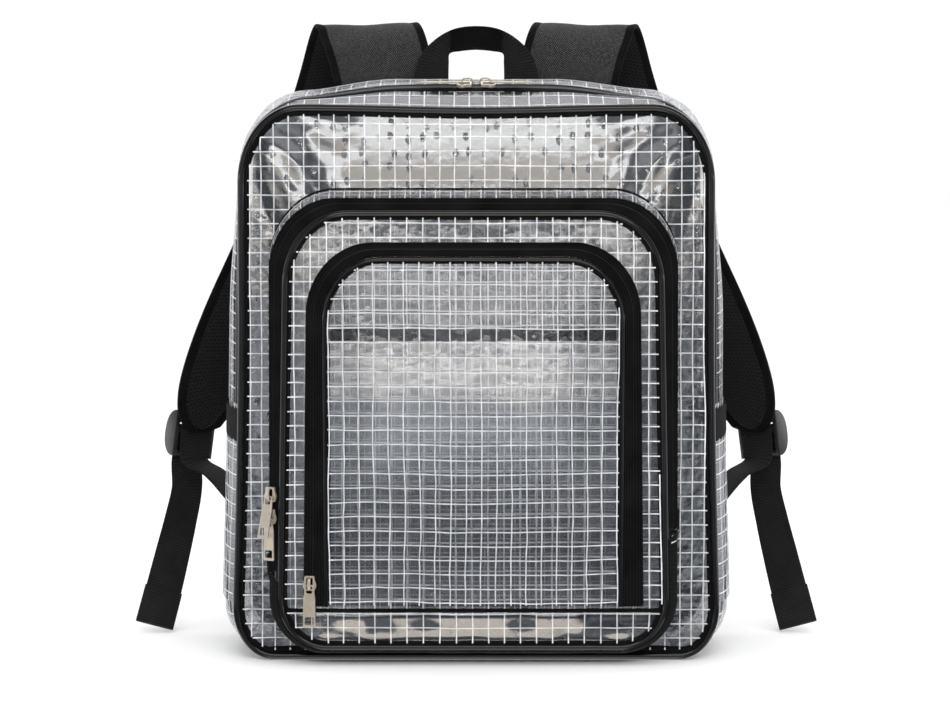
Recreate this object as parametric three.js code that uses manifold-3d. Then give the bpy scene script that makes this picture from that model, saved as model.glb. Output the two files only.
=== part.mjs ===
// Clear film tool backpack standing on its base. Millimetres, +Z up, the front faces -Y.
// The origin is the middle of the flat base.
import * as THREE from "three";
import Module from "manifold-3d";
import { mergeVertices } from "three/addons/utils/BufferGeometryUtils.js";

const wasm = await Module();
wasm.setup();

const { lerp, clamp, smoothstep, degToRad } = THREE.MathUtils;

// Walls and clearances
const FILM = 1.0;
const GAP = 0.3;
const SEAM_GAP = 0.5;
const TAPE = 1.2;
const WEBBING = 1.5;
const WEBBING_WIDTH = 27;

// Body: the front seam and the back seam, and the bulge of the walls between them
const BODY_DEPTH = 118;
const FRONT_Y = -BODY_DEPTH / 2;
const BACK_Y = BODY_DEPTH / 2;
const PIPING_R = 2.75;
const FRONT_SEAM = {
  bottom: PIPING_R, top: 388.5, halfBottom: 170, halfTop: 164.5, waist: 2.5,
  cornerBottom: [28, 36], cornerTop: [42, 53],
};
const BACK_SEAM = {
  bottom: PIPING_R, top: 398, halfBottom: 167, halfTop: 162, waist: 1.5,
  cornerBottom: [28, 36], cornerTop: [42, 53],
};
const BULGE = { side: 13, top: 15.5, base: PIPING_R - FILM / 2 };
const SHOULDER = { share: 0.5, low: 240, high: 345, near: 55, far: 130 };
const FRONT_CROWN = 2;
const BACK_PAD = 6;

// Main zip: how far down the sides it runs, and where it lies across the depth (0 front, 1 back)
const ZIP_FOOT = 180;
const ZIP_HALF = 0.058;
const ZIP_AT_TOP = 0.256;
const ZIP_AT_SIDE = 0.095;
const ZIP_TURN = [4.4, 3.6];
const SEAM_SLIT = 0.004;

// Side pockets
const SIDE_POCKET = { foot: 14, bandFoot: 154, bandTop: 176, stand: 1.5, swell: 0.5 };

// Front pocket: seam on the front panel, outer edge of its zip, line of its piping
const POCKET_SHIFT = -2;
const POCKET_SEAM = {
  bottom: 8.4, top: 331.4, halfBottom: 142, halfTop: 142, waist: 0,
  cornerBottom: [34, 36], cornerTop: [46, 52],
};
const POCKET_OUTER = {
  bottom: 10.6, top: 326, halfBottom: 142.5, halfTop: 142, waist: 0,
  cornerBottom: [34, 36], cornerTop: [46, 52],
};
const POCKET_PIPE = {
  bottom: 12.8, top: 315.5, halfBottom: 135, halfTop: 129.5, waist: 0,
  cornerBottom: [33, 35], cornerTop: [43, 48],
};
const POCKET_PIPE_R = 2.4;
const POCKET_ZIP_Y = FRONT_Y - 19;
const POCKET_FACE_Y = FRONT_Y - 24.5;
const POCKET_CROWN = 5;
const POCKET_ZIP_FOOT = { left: 66, right: 97 };

// Small pocket on the face of the front pocket
const SMALL_OUTER = {
  bottom: 41, top: 295.5, halfBottom: 118.5, halfTop: 115.5, waist: 0,
  cornerBottom: [1, 1], cornerTop: [46, 50],
};
const SMALL_PIPE = {
  bottom: 41, top: 284, halfBottom: 102.5, halfTop: 103.5, waist: 0,
  cornerBottom: [1, 1], cornerTop: [40, 44],
};
const SMALL_PIPE_R = 1.6;
const SMALL_STAND = 3.4;
const SMALL_CROWN = 6;
const SMALL_HEM = { half: 129.4, foot: 37.8, top: 40.4, thick: 1.6 };
const SLIP = { half: 99, foot: 46, bandFoot: 227.4, bandTop: 235.6, stand: 1.7 };

// Zip sliders (travel along local y, outward along local z) and their pulls
const SLIDER = { length: 10.4, wide: 9.5, narrow: 6.6, floor: GAP, top: 2.7 };
const CROWN = { half: 4, width: 2, top: 5.3, window: 2.5, windowTop: 4.55 };
const PULL = { length: 29.5, width: 8.4, thick: 1.2, barY: -1.4, barZ: 3.62 };
const PULL_EYE = { half: 2.2, end: 5.4 };
const PULL_HOLE = { half: 2.9, near: 22, far: 27 };

// Grab handle: one half, outer edge and inner edge of the webbing
const HANDLE_THICK = 1.6;
const HANDLE_ROWS = [
  { outX: 46, outY: 60.7, outZ: 382, inX: 20.4, inY: 60.7, inZ: 382 },
  { outX: 46, outY: 62.9, outZ: 394, inX: 20.4, inY: 62.9, inZ: 394 },
  { outX: 46, outY: 62.9, outZ: 410, inX: 20.4, inY: 62.9, inZ: 410 },
  { outX: 41, outY: 62.0, outZ: 427, inX: 20.6, inY: 63.5, inZ: 420 },
  { outX: 30, outY: 60.5, outZ: 439, inX: 20.2, inY: 66.5, inZ: 427 },
  { outX: 16, outY: 59.0, outZ: 446.5, inX: 12.5, inY: 74, inZ: 430.8 },
  { outX: 0, outY: 58.5, outZ: 448.5, inX: 0, inY: 77, inZ: 432 },
];

// Shoulder strap, right side: centre line, half width, thickness, lean and turn of the width direction
const STRAP_ROWS = [
  { x: 64, y: 62.6, z: 364, half: 36, thick: 5, lean: -8, yaw: 0 },
  { x: 65, y: 69.2, z: 390, half: 36.5, thick: 8, lean: -10, yaw: 0 },
  { x: 69, y: 72, z: 416, half: 37, thick: 9, lean: -10, yaw: 0 },
  { x: 75, y: 82, z: 437.5, half: 37, thick: 9, lean: -4, yaw: 0 },
  { x: 82, y: 102, z: 446.5, half: 37, thick: 9, lean: 4, yaw: 0 },
  { x: 90, y: 121, z: 434, half: 36.5, thick: 9, lean: 14, yaw: 0 },
  { x: 100, y: 130, z: 402, half: 36, thick: 9, lean: 20, yaw: 0 },
  { x: 114, y: 131, z: 362, half: 35, thick: 9, lean: 23, yaw: 2 },
  { x: 134, y: 126, z: 315, half: 34, thick: 9, lean: 25, yaw: 5 },
  { x: 157, y: 117, z: 267, half: 32.5, thick: 9, lean: 26, yaw: 9 },
  { x: 173, y: 109, z: 236, half: 31, thick: 9, lean: 26, yaw: 14 },
  { x: 187, y: 101, z: 208, half: 29, thick: 9, lean: 25, yaw: 21 },
  { x: 198, y: 94.5, z: 184, half: 26.5, thick: 8, lean: 20, yaw: 29 },
  { x: 204, y: 91, z: 166, half: 24, thick: 7, lean: 14, yaw: 36 },
  { x: 206.5, y: 89.5, z: 153.5, half: 18.5, thick: 6, lean: 10, yaw: 40 },
  { x: 207.3, y: 89, z: 147, half: 8.5, thick: 5, lean: 8, yaw: 41 },
];
const BINDING = { width: 7, thick: 3.6 };

// Ladder lock behind the end of the strap: upright along local y, the wearer's side along local z.
// Two D-shaped cheeks, their straight edge toward the wearer, joined by three bars.
const LOCK_AT = 0.955;
const LOCK_STAND = 8.3;
const LOCK_DROP = 6.5;
const LOCK_CHEEK = { top: 17, foot: -17.5, front: 2.4, back: -10.5, inner: 14.6, outer: 18, round: 2.3 };
const LOCK_BAR_THICK = 4;
const LOCK_BARS = [
  { low: 12, high: 16 },
  { low: 0.2, high: 4.2 },
  { low: -17, high: -13.5 },
];
const LOOP = { stand: 3.05, front: 21, frontStand: 3.1, back: 23, backStand: -0.4, rise: 18, turn: 10 };

// Lower webbing, right side: the anchored end, then the wrap through the lock, then the free tail
const ANCHOR_ROWS = [
  { x: 169.2, y: 67.5, z: 87.7, wx: 0.55, wy: -0.83, wz: 0.02 },
  { x: 181.8, y: 76.3, z: 102.6, wx: 0.55, wy: -0.83, wz: 0.02 },
  { x: 195, y: 83, z: 116, wx: 0.6, wy: -0.8, wz: 0.05 },
];
const WRAP_ROWS = [
  { along: -19, out: 8.5 },
  { along: -9, out: 4.8 },
  { along: 0, out: 3.7 },
  { along: 4.4, out: 3.4 },
  { along: 6, out: 1.9 },
  { along: 6.4, out: 0 },
  { along: 6, out: -1.9 },
  { along: 4.4, out: -3.5 },
  { along: -7, out: -3.5 },
  { along: -19, out: -4 },
];
const TAIL_ROWS = [
  { x: 218, y: 99.5, z: 104, wx: 0.79, wy: -0.6, wz: 0.1 },
  { x: 222.6, y: 94, z: 79.3, wx: 0.84, wy: -0.51, wz: 0.18 },
  { x: 228, y: 85, z: 55, wx: 0.9, wy: -0.37, wz: 0.21 },
  { x: 233.5, y: 73.5, z: 30.5, wx: 0.95, wy: -0.21, wz: 0.23 },
  { x: 239.3, y: 60, z: 5.6, wx: 0.965, wy: -0.08, wz: 0.24 },
];
const TAIL_HEM = { width: 28.6, thick: 3.2 };
const TAB_ROWS = [
  { x: 165.6, y: 64.9, z: 80.4, wx: 0.55, wy: -0.83, wz: 0.02 },
  { x: 177.6, y: 73.2, z: 94.4, wx: 0.55, wy: -0.83, wz: 0.02 },
];
const TAB_THICK = 2;

const MATERIALS = {
  film: { color: 0xdfe6ea, roughness: 0.15, opacity: 0.35, transparent: true },
  black: { color: 0x17181b, roughness: 0.6 },
  zip: { color: 0x141417, roughness: 0.75 },
  web: { color: 0x1b1c20, roughness: 0.8 },
  mesh: { color: 0x24262b, roughness: 0.9 },
  metal: { color: 0xcdbfa4, roughness: 0.3, metalness: 1 },
  lock: { color: 0x4c4f55, roughness: 0.45 },
};

const group = new THREE.Group();
group.name = "clear_tool_backpack";

function vec(x, y, z) {
  return new THREE.Vector3(x, y, z);
}

function signedVolume(positions, index) {
  const [a, b, c] = [vec(), vec(), vec()];
  let volume = 0;
  for (let i = 0; i < index.count; i += 3) {
    a.fromBufferAttribute(positions, index.getX(i));
    b.fromBufferAttribute(positions, index.getX(i + 1));
    c.fromBufferAttribute(positions, index.getX(i + 2));
    volume += a.dot(b.cross(c)) / 6;
  }
  return volume;
}

// One closed body with its faces turned outward
function closed(geometry) {
  const bare = geometry.clone();
  for (const name of Object.keys(bare.attributes)) {
    if (name !== "position") bare.deleteAttribute(name);
  }
  const body = mergeVertices(bare, 1e-4);
  if (signedVolume(body.attributes.position, body.index) < 0) {
    const list = Array.from(body.index.array);
    for (let i = 0; i < list.length; i += 3) {
      [list[i + 1], list[i + 2]] = [list[i + 2], list[i + 1]];
    }
    body.setIndex(list);
  }
  body.computeVertexNormals();
  return body;
}

function add(name, geometry, look, matrix) {
  const body = closed(geometry);
  if (matrix) body.applyMatrix4(matrix);
  const mesh = new THREE.Mesh(body, new THREE.MeshStandardMaterial(MATERIALS[look]));
  mesh.name = name;
  group.add(mesh);
  return mesh;
}

// The same piece on the other side of the middle plane
function addMirrored(name, mesh) {
  const body = mesh.geometry.clone();
  body.applyMatrix4(new THREE.Matrix4().makeScale(-1, 1, 1));
  const twin = new THREE.Mesh(closed(body), mesh.material.clone());
  twin.name = name;
  group.add(twin);
}

// A wall of even or given thickness about rows of middle points; rows may close into a ring
function sheet(rows, thickness, ring = false) {
  const along = rows.length;
  const across = rows[0].length;
  const half = (i, j) => (typeof thickness === "function" ? thickness(i, j) : thickness) / 2;
  const pick = (i, j) => {
    const row = ring ? (i + along) % along : clamp(i, 0, along - 1);
    return rows[row][clamp(j, 0, across - 1)];
  };
  const points = [];
  for (const sign of [1, -1]) {
    for (let i = 0; i < along; i++) {
      for (let j = 0; j < across; j++) {
        const down = pick(i + 1, j).clone().sub(pick(i - 1, j));
        const over = pick(i, j + 1).clone().sub(pick(i, j - 1));
        const normal = down.cross(over).normalize();
        const p = rows[i][j].clone().addScaledVector(normal, sign * half(i, j));
        points.push(p.x, p.y, p.z);
      }
    }
  }
  const at = (side, i, j) => side * along * across + (i % along) * across + j;
  const index = [];
  const quad = (a, b, c, d) => index.push(a, b, c, a, c, d);
  const lastRow = ring ? along : along - 1;
  for (let i = 0; i < lastRow; i++) {
    for (let j = 0; j < across - 1; j++) {
      quad(at(0, i, j), at(0, i + 1, j), at(0, i + 1, j + 1), at(0, i, j + 1));
      quad(at(1, i, j), at(1, i, j + 1), at(1, i + 1, j + 1), at(1, i + 1, j));
    }
    quad(at(0, i, 0), at(1, i, 0), at(1, i + 1, 0), at(0, i + 1, 0));
    quad(at(0, i, across - 1), at(0, i + 1, across - 1), at(1, i + 1, across - 1), at(1, i, across - 1));
  }
  if (!ring) {
    for (let j = 0; j < across - 1; j++) {
      quad(at(0, 0, j), at(0, 0, j + 1), at(1, 0, j + 1), at(1, 0, j));
      quad(at(0, lastRow, j), at(1, lastRow, j), at(1, lastRow, j + 1), at(0, lastRow, j + 1));
    }
  }
  const geometry = new THREE.BufferGeometry();
  geometry.setAttribute("position", new THREE.Float32BufferAttribute(points, 3));
  geometry.setIndex(index);
  return geometry;
}

function steps(from, to, count) {
  return Array.from({ length: count + 1 }, (_, i) => lerp(from, to, i / count));
}

function inset(outline, d) {
  const shrink = ([x, z]) => [Math.max(x - d, 0.4), Math.max(z - d, 0.4)];
  return {
    ...outline,
    bottom: outline.bottom + d,
    top: outline.top - d,
    halfBottom: outline.halfBottom - d,
    halfTop: outline.halfTop - d,
    cornerBottom: shrink(outline.cornerBottom),
    cornerTop: shrink(outline.cornerTop),
  };
}

function halfWidth(outline, z) {
  const k = clamp((z - outline.bottom) / (outline.top - outline.bottom), 0, 1);
  const [lowX, lowZ] = outline.cornerBottom;
  const [highX, highZ] = outline.cornerTop;
  const low = clamp((outline.bottom + lowZ - z) / lowZ, 0, 1);
  const high = clamp((z - outline.top + highZ) / highZ, 0, 1);
  const side = lerp(outline.halfBottom, outline.halfTop, k) - outline.waist * Math.sin(Math.PI * k);
  return side - lowX * (1 - Math.sqrt(1 - low * low)) - highX * (1 - Math.sqrt(1 - high * high));
}

// A point of an outline, [x, z]. The station runs 0 to 9 from the middle of the bottom edge round by
// the right: 1 corner, 2 side, 3 corner, 4 top edge, and back by the left side.
function ringPoint(outline, station) {
  const left = station > 4.5;
  const v = left ? 9 - station : station;
  const { bottom, top, cornerBottom, cornerTop } = outline;
  let z = top;
  if (v <= 1) z = bottom;
  else if (v <= 2) z = bottom + cornerBottom[1] * (1 - Math.cos(((v - 1) * Math.PI) / 2));
  else if (v <= 3) z = lerp(bottom + cornerBottom[1], top - cornerTop[1], v - 2);
  else if (v <= 4) z = top - cornerTop[1] * (1 - Math.sin(((v - 3) * Math.PI) / 2));
  let x = halfWidth(outline, z);
  if (v < 1) x *= v;
  if (v > 4) x *= 1 - (v - 4) / 0.5;
  return [left ? -x : x, z];
}

function ringNormal(outline, station) {
  const [ax, az] = ringPoint(outline, station - 0.002);
  const [bx, bz] = ringPoint(outline, station + 0.002);
  const length = Math.hypot(bx - ax, bz - az);
  return [(bz - az) / length, (ax - bx) / length];
}

// The station on the right side that lies at a height
function stationAt(outline, z) {
  const foot = outline.bottom + outline.cornerBottom[1];
  return 2 + (z - foot) / (outline.top - outline.cornerTop[1] - foot);
}

// Stations with a given number of steps for each of the nine stretches
function stations(from, to, counts) {
  const list = [];
  for (let k = Math.floor(from); k < to; k++) {
    const a = Math.max(from, k);
    const b = Math.min(to, k + 1);
    const n = Math.max(1, Math.round(counts[k] * (b - a)));
    steps(a, b, n).slice(0, n).forEach((v) => list.push(v));
  }
  list.push(to);
  return list;
}

function crown(a, b) {
  return Math.max(0, 1 - a * a) * Math.max(0, 1 - b * b);
}

// A panel that fills an outline, as rows from the bottom edge up, at a depth given by x and z
function panel(outline, columns, counts, depth, foot = 1) {
  return stations(foot, 4, counts).map((v) => {
    const [half, z] = ringPoint(outline, v);
    return steps(-half, half, columns).map((x) => vec(x, depth(x, z), z));
  });
}

// A round tube whose middle follows an outline between two stations, or all the way round
function tube(outline, list, radius, depth, sides = 6) {
  const ring = list.length > 1 && list[0] === 0;
  const turns = steps(0, 2 * Math.PI, sides).slice(0, -1);
  const points = [];
  const index = [];
  const count = list.length;
  list.forEach((u, i) => {
    const [x, z] = ringPoint(outline, u);
    const [nx, nz] = ringNormal(outline, u);
    turns.forEach((a, j) => {
      const out = radius * Math.cos(a);
      points.push(x + nx * out, depth(x, z) + radius * Math.sin(a), z + nz * out);
      const [next, over] = [(i + 1) % count, (j + 1) % sides];
      if (i + 1 === count && !ring) return;
      const [p, q, r, s] = [i * sides + j, next * sides + j, next * sides + over, i * sides + over];
      index.push(p, q, r, p, r, s);
    });
  });
  if (!ring) {
    const last = (count - 1) * sides;
    for (let j = 1; j < sides - 1; j++) {
      index.push(0, j, j + 1, last, last + j + 1, last + j);
    }
  }
  const geometry = new THREE.BufferGeometry();
  geometry.setAttribute("position", new THREE.Float32BufferAttribute(points, 3));
  geometry.setIndex(index);
  return geometry;
}

function ringTube(outline, counts, radius, depth) {
  return tube(outline, stations(0, 9, counts).slice(0, -1), radius, depth);
}

// Body walls: the surface between the front and back seams; across is 0 at the front, 1 at the back
function wall(station, across, stand = 0) {
  const [fx, fz] = ringPoint(FRONT_SEAM, station);
  const [bx, bz] = ringPoint(BACK_SEAM, station);
  const [nx, nz] = ringNormal(FRONT_SEAM, station);
  const arch = Math.sin(Math.PI * across) ** 0.85;
  const flat = Math.min(1, 6 * Math.sin(Math.PI * across));
  const up = Math.max(nz, 0) ** 2;
  const down = Math.max(-nz, 0) ** 2;
  const side = BULGE.side * (1 - SHOULDER.share * smoothstep(fz, SHOULDER.low, SHOULDER.high));
  const top = BULGE.top * (1 - SHOULDER.share * smoothstep(Math.abs(fx), SHOULDER.near, SHOULDER.far));
  const out = (side * nx * nx + top * up) * arch + BULGE.base * down * flat + stand;
  const edge = PIPING_R + GAP;
  return vec(
    lerp(fx, bx, across) + nx * out,
    lerp(FRONT_Y + edge, BACK_Y - edge, across),
    lerp(fz, bz, across) + nz * out,
  );
}

const BODY_STEPS = [3, 4, 6, 5, 7, 5, 6, 4, 3];
const PIPING_STEPS = [2, 5, 5, 6, 5, 6, 5, 5, 2];
const ZIP_FROM = stationAt(FRONT_SEAM, ZIP_FOOT);

function zipAcross(station) {
  const v = station > 4.5 ? 9 - station : station;
  return lerp(ZIP_AT_SIDE, ZIP_AT_TOP, smoothstep(v, ZIP_TURN[1], ZIP_TURN[0]));
}

function zipBand(from, to, count) {
  return stations(ZIP_FROM, 9 - ZIP_FROM, BODY_STEPS).map((u) =>
    steps(from(zipAcross(u)), to(zipAcross(u)), count).map((t) => wall(u, t)),
  );
}

function frontPanelY(x, z) {
  return FRONT_Y - FRONT_CROWN * crown(x / 166, (z - 195) / 195);
}

function buildBody() {
  const seamEdge = PIPING_R + SEAM_GAP;
  add("front_panel", sheet(panel(inset(FRONT_SEAM, seamEdge), 8, BODY_STEPS, frontPanelY), FILM), "film");
  add("front_piping", ringTube(FRONT_SEAM, PIPING_STEPS, PIPING_R, () => FRONT_Y), "black");
  add("back_piping", ringTube(BACK_SEAM, PIPING_STEPS, PIPING_R, () => BACK_Y), "black");
  const backRows = panel(inset(BACK_SEAM, seamEdge), 4, [2, 4, 3, 5], () => BACK_Y - 2.5);
  add("back_panel", sheet(backRows, BACK_PAD), "mesh");

  const slit = ZIP_HALF + SEAM_SLIT;
  add("zip_gusset_front", sheet(zipBand(() => 0, (t) => t - slit, 4), FILM), "film");
  add("zip_gusset_back", sheet(zipBand((t) => t + slit, () => 1, 4), FILM), "film");
  add("main_zipper", sheet(zipBand((t) => t - ZIP_HALF, (t) => t + ZIP_HALF, 2), TAPE), "zip");

  const sideTop = stationAt(FRONT_SEAM, ZIP_FOOT - 0.5);
  const sideRows = stations(1.02, sideTop, [3, 4, 7]).map((u) => steps(0, 1, 8).map((t) => wall(u, t)));
  addMirrored("side_gusset_left", add("side_gusset_right", sheet(sideRows, FILM), "film"));
  const baseRows = steps(-1, 1, 2).map((k) =>
    steps(0, 1, 12).map((t) => wall(k < 0 ? 9 + k : k, t)),
  );
  add("base_panel", sheet(baseRows, FILM), "film");
}

function buildSidePockets() {
  const { foot, bandFoot, bandTop, stand, swell } = SIDE_POCKET;
  const rows = (low, high, count, lift) =>
    steps(stationAt(FRONT_SEAM, low), stationAt(FRONT_SEAM, high), count).map((u) =>
      steps(0.03, 0.97, 7).map((t) => wall(u, t, stand + swell * Math.sin(Math.PI * t) * lift)),
    );
  const film = add("side_pocket_right", sheet(rows(foot + 26, bandFoot - GAP, 5, 1), FILM), "film");
  const band = add("side_pocket_band_right", sheet(rows(bandFoot, bandTop, 1, 1), FILM + 0.4), "zip");
  addMirrored("side_pocket_left", film);
  addMirrored("side_pocket_band_left", band);
}

function pocketFaceY(x, z) {
  return POCKET_FACE_Y - POCKET_CROWN * crown(x / 134, (z - 165) / 152);
}

// 1 beside the front pocket's zip, 0 where the wall runs straight to the piping
function besideZip(x, z) {
  const foot = x < 0 ? POCKET_ZIP_FOOT.left : POCKET_ZIP_FOOT.right;
  return smoothstep(z, foot - 7, foot - 1);
}

function buildFrontPocket() {
  const counts = [2, 5, 5, 6, 5, 6, 5, 5, 2];
  const pipeEdge = inset(POCKET_PIPE, -(POCKET_PIPE_R + SEAM_GAP));
  const wallEdge = inset(pipeEdge, -FILM / 2);
  const ends = [POCKET_ZIP_FOOT.right, POCKET_ZIP_FOOT.left].flatMap((z, i) =>
    [7, 1].map((d) => stationAt(POCKET_OUTER, z - d)).map((v) => (i ? 9 - v : v)),
  );
  const wallStations = [...stations(0, 9, counts).slice(0, -1), ...ends].sort((a, b) => a - b);
  const wallRows = wallStations.map((u) => {
    const [sx, sz] = ringPoint(POCKET_SEAM, u);
    const [ox, oz] = ringPoint(POCKET_OUTER, u);
    const [px, pz] = ringPoint(wallEdge, u);
    const foot = vec(sx, frontPanelY(sx, sz) - FILM / 2 - SEAM_GAP, sz);
    const k = besideZip(ox, oz);
    const rim = vec(lerp(px, ox, k), lerp(POCKET_FACE_Y, POCKET_ZIP_Y, k), lerp(pz, oz, k));
    return [foot, foot.clone().lerp(rim, 0.5), rim];
  });
  const shift = new THREE.Matrix4().makeTranslation(POCKET_SHIFT, 0, 0);
  add("front_pocket_wall", sheet(wallRows, FILM, true), "film", shift);

  const from = stationAt(POCKET_OUTER, POCKET_ZIP_FOOT.right);
  const to = 9 - stationAt(POCKET_OUTER, POCKET_ZIP_FOOT.left);
  const zipRows = stations(from, to, counts).map((u) => {
    const [ox, oz] = ringPoint(inset(POCKET_OUTER, GAP), u);
    const [px, pz] = ringPoint(pipeEdge, u);
    const outer = vec(ox, POCKET_ZIP_Y - 1, oz);
    const inner = vec(px, POCKET_FACE_Y + 0.5, pz);
    return [0, 0.5, 1].map((k) => outer.clone().lerp(inner, k));
  });
  add("front_pocket_zipper", sheet(zipRows, TAPE), "zip", shift);

  const pipeCounts = PIPING_STEPS;
  const piping = ringTube(POCKET_PIPE, pipeCounts, POCKET_PIPE_R, () => POCKET_FACE_Y);
  add("front_pocket_piping", piping, "black", shift);
  const face = panel(inset(POCKET_PIPE, POCKET_PIPE_R + SEAM_GAP), 8, [2, 4, 6, 5], pocketFaceY);
  add("front_pocket_face", sheet(face, FILM), "film", shift);
}

function smallFaceY(x, z) {
  return pocketFaceY(x, z) - SMALL_STAND - SMALL_CROWN * crown(x / 104, (z - 163) / 122);
}

function slipY(x, z) {
  return pocketFaceY(x, z) - SLIP.stand;
}

function buildSmallPocket() {
  const counts = [1, 1, 5, 6, 5, 6, 5, 1, 1];
  const shift = new THREE.Matrix4().makeTranslation(POCKET_SHIFT, 0, 0);
  const pipeEdge = inset(SMALL_PIPE, -(SMALL_PIPE_R + SEAM_GAP));
  const zipRows = stations(2, 7, counts).map((u) => {
    const [ox, oz] = ringPoint(SMALL_OUTER, u);
    const [px, pz] = ringPoint(pipeEdge, u);
    const outer = vec(ox, pocketFaceY(ox, oz) - 1.4, oz);
    const inner = vec(px, pocketFaceY(px, pz) - 2.6, pz);
    return [0, 0.5, 1].map((k) => outer.clone().lerp(inner, k));
  });
  add("small_pocket_zipper", sheet(zipRows, TAPE), "zip", shift);

  const pipeY = (x, z) => pocketFaceY(x, z) - SMALL_STAND;
  const pipe = tube(SMALL_PIPE, stations(2, 7, counts), SMALL_PIPE_R, pipeY);
  add("small_pocket_piping", pipe, "black", shift);

  const face = panel(inset(SMALL_PIPE, SMALL_PIPE_R + SEAM_GAP), 8, [1, 1, 6, 5], smallFaceY, 2);
  add("small_pocket_face", sheet(face, FILM), "film", shift);

  const strip = (low, high, half, count, depth) =>
    steps(low, high, count).map((z) => steps(-half, half, 8).map((x) => vec(x, depth(x, z), z)));
  const hemY = (x, z) => pocketFaceY(x, z) - FILM / 2 - GAP - SMALL_HEM.thick / 2;
  const hem = strip(SMALL_HEM.foot, SMALL_HEM.top, SMALL_HEM.half, 1, hemY);
  const slip = strip(SLIP.foot, SLIP.bandFoot - GAP, SLIP.half, 4, slipY);
  const band = strip(SLIP.bandFoot, SLIP.bandTop, SLIP.half, 1, slipY);
  add("small_pocket_hem", sheet(hem, SMALL_HEM.thick), "black", shift);
  add("slip_pocket", sheet(slip, 0.8), "film", shift);
  add("slip_pocket_binding", sheet(band, 1.2), "black", shift);
}

function toManifold(geometry) {
  const body = closed(geometry);
  return wasm.Manifold.ofMesh(new wasm.Mesh({
    numProp: 3,
    vertProperties: new Float32Array(body.attributes.position.array),
    triVerts: new Uint32Array(body.index.array),
  }));
}

function fromManifold(solid) {
  const mesh = solid.getMesh();
  const geometry = new THREE.BufferGeometry();
  geometry.setAttribute("position", new THREE.BufferAttribute(new Float32Array(mesh.vertProperties), 3));
  geometry.setIndex(Array.from(mesh.triVerts));
  return geometry;
}

function polygon(points) {
  return new THREE.Shape(points.map(([x, y]) => new THREE.Vector2(x, y)));
}

// A right-hand side given from the foot up, and its mirror image back down
function evenSided(side) {
  return [...side, ...side.slice().reverse().map(([x, y]) => [-x, y])];
}

function sliderGeometry() {
  const { length, wide, narrow, floor, top } = SLIDER;
  const [w, n, h] = [wide / 2, narrow / 2, length / 2];
  const outline = polygon(evenSided([[n, -h], [n, 0], [w, 1.6], [w, h - 1.2], [w - 1.2, h]]));
  const body = new THREE.ExtrudeGeometry(outline, { depth: top - floor, bevelEnabled: false });
  body.translate(0, 0, floor);
  const { half, width, top: archTop, window, windowTop } = CROWN;
  const arch = polygon(evenSided([[half, top - 0.4], [half, archTop - 1.2], [half - 1.2, archTop]]));
  arch.holes.push(polygon(evenSided([[window, top - 0.2], [window, windowTop]])));
  const bridge = new THREE.ExtrudeGeometry(arch, { depth: width, bevelEnabled: false });
  bridge.translate(0, 0, -width / 2);
  bridge.applyMatrix4(new THREE.Matrix4().makeBasis(vec(0, 1, 0), vec(0, 0, 1), vec(1, 0, 0)));
  return fromManifold(toManifold(body).add(toManifold(bridge)));
}

// The pull hangs from the middle of its bar, which lies at the origin, toward local -y
function pullGeometry() {
  const { length, width, thick } = PULL;
  const bar = thick / 2;
  const [eye, half] = [width / 2 - 0.6, width / 2];
  const lowSide = [[half - 1, -length], [half, 1 - length], [half, -9]];
  const side = [...lowSide, [eye, -6], [eye, bar - 1], [eye - 1, bar]];
  const outline = polygon(evenSided(side));
  const eyeSide = [[1, -PULL_EYE.end], [PULL_EYE.half, -PULL_EYE.end + 1.2], [PULL_EYE.half, -bar]];
  outline.holes.push(polygon(evenSided(eyeSide)));
  const holeSide = [[PULL_HOLE.half, -PULL_HOLE.far], [PULL_HOLE.half, -PULL_HOLE.near]];
  outline.holes.push(polygon(evenSided(holeSide)));
  const geometry = new THREE.ExtrudeGeometry(outline, { depth: thick, bevelEnabled: false });
  geometry.translate(0, 0, -thick / 2);
  return geometry;
}

// A slider at a point of a zip, with its travel direction and the zip's outward side, and its pull
// lifted off the zip by an angle and turned sideways by another
function addSlider(name, pullName, at, travel, outward, lift = 0, turn = 0) {
  const z = outward.clone().normalize();
  const x = travel.clone().cross(z).normalize();
  const y = z.clone().cross(x);
  const place = new THREE.Matrix4().makeBasis(x, y, z).setPosition(at);
  add(name, sliderGeometry(), "metal", place);
  const hang = new THREE.Matrix4()
    .makeTranslation(0, PULL.barY, PULL.barZ)
    .multiply(new THREE.Matrix4().makeRotationZ(degToRad(turn)))
    .multiply(new THREE.Matrix4().makeRotationX(degToRad(-lift)));
  add(pullName, pullGeometry(), "metal", place.clone().multiply(hang));
}

// Point, travel and outward direction on a strip given as a function of along and across
function zipFrame(surface, along, across, lift) {
  const d = 0.01;
  const travel = surface(along + d, across).sub(surface(along - d, across)).normalize();
  const over = surface(along, across + d).sub(surface(along, across - d)).normalize();
  const outward = travel.clone().cross(over).normalize();
  return { at: surface(along, across).addScaledVector(outward, lift), travel, outward };
}

const FRONT_SLIDER_Z = { upper: 120, lower: 104.5 };
const FRONT_SLIDER_LIFT = { upper: 15, lower: 0 };
const SMALL_SLIDER_Z = 58.5;
const MAIN_SLIDER_STATION = { left: 4.535, right: 4.465 };

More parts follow.
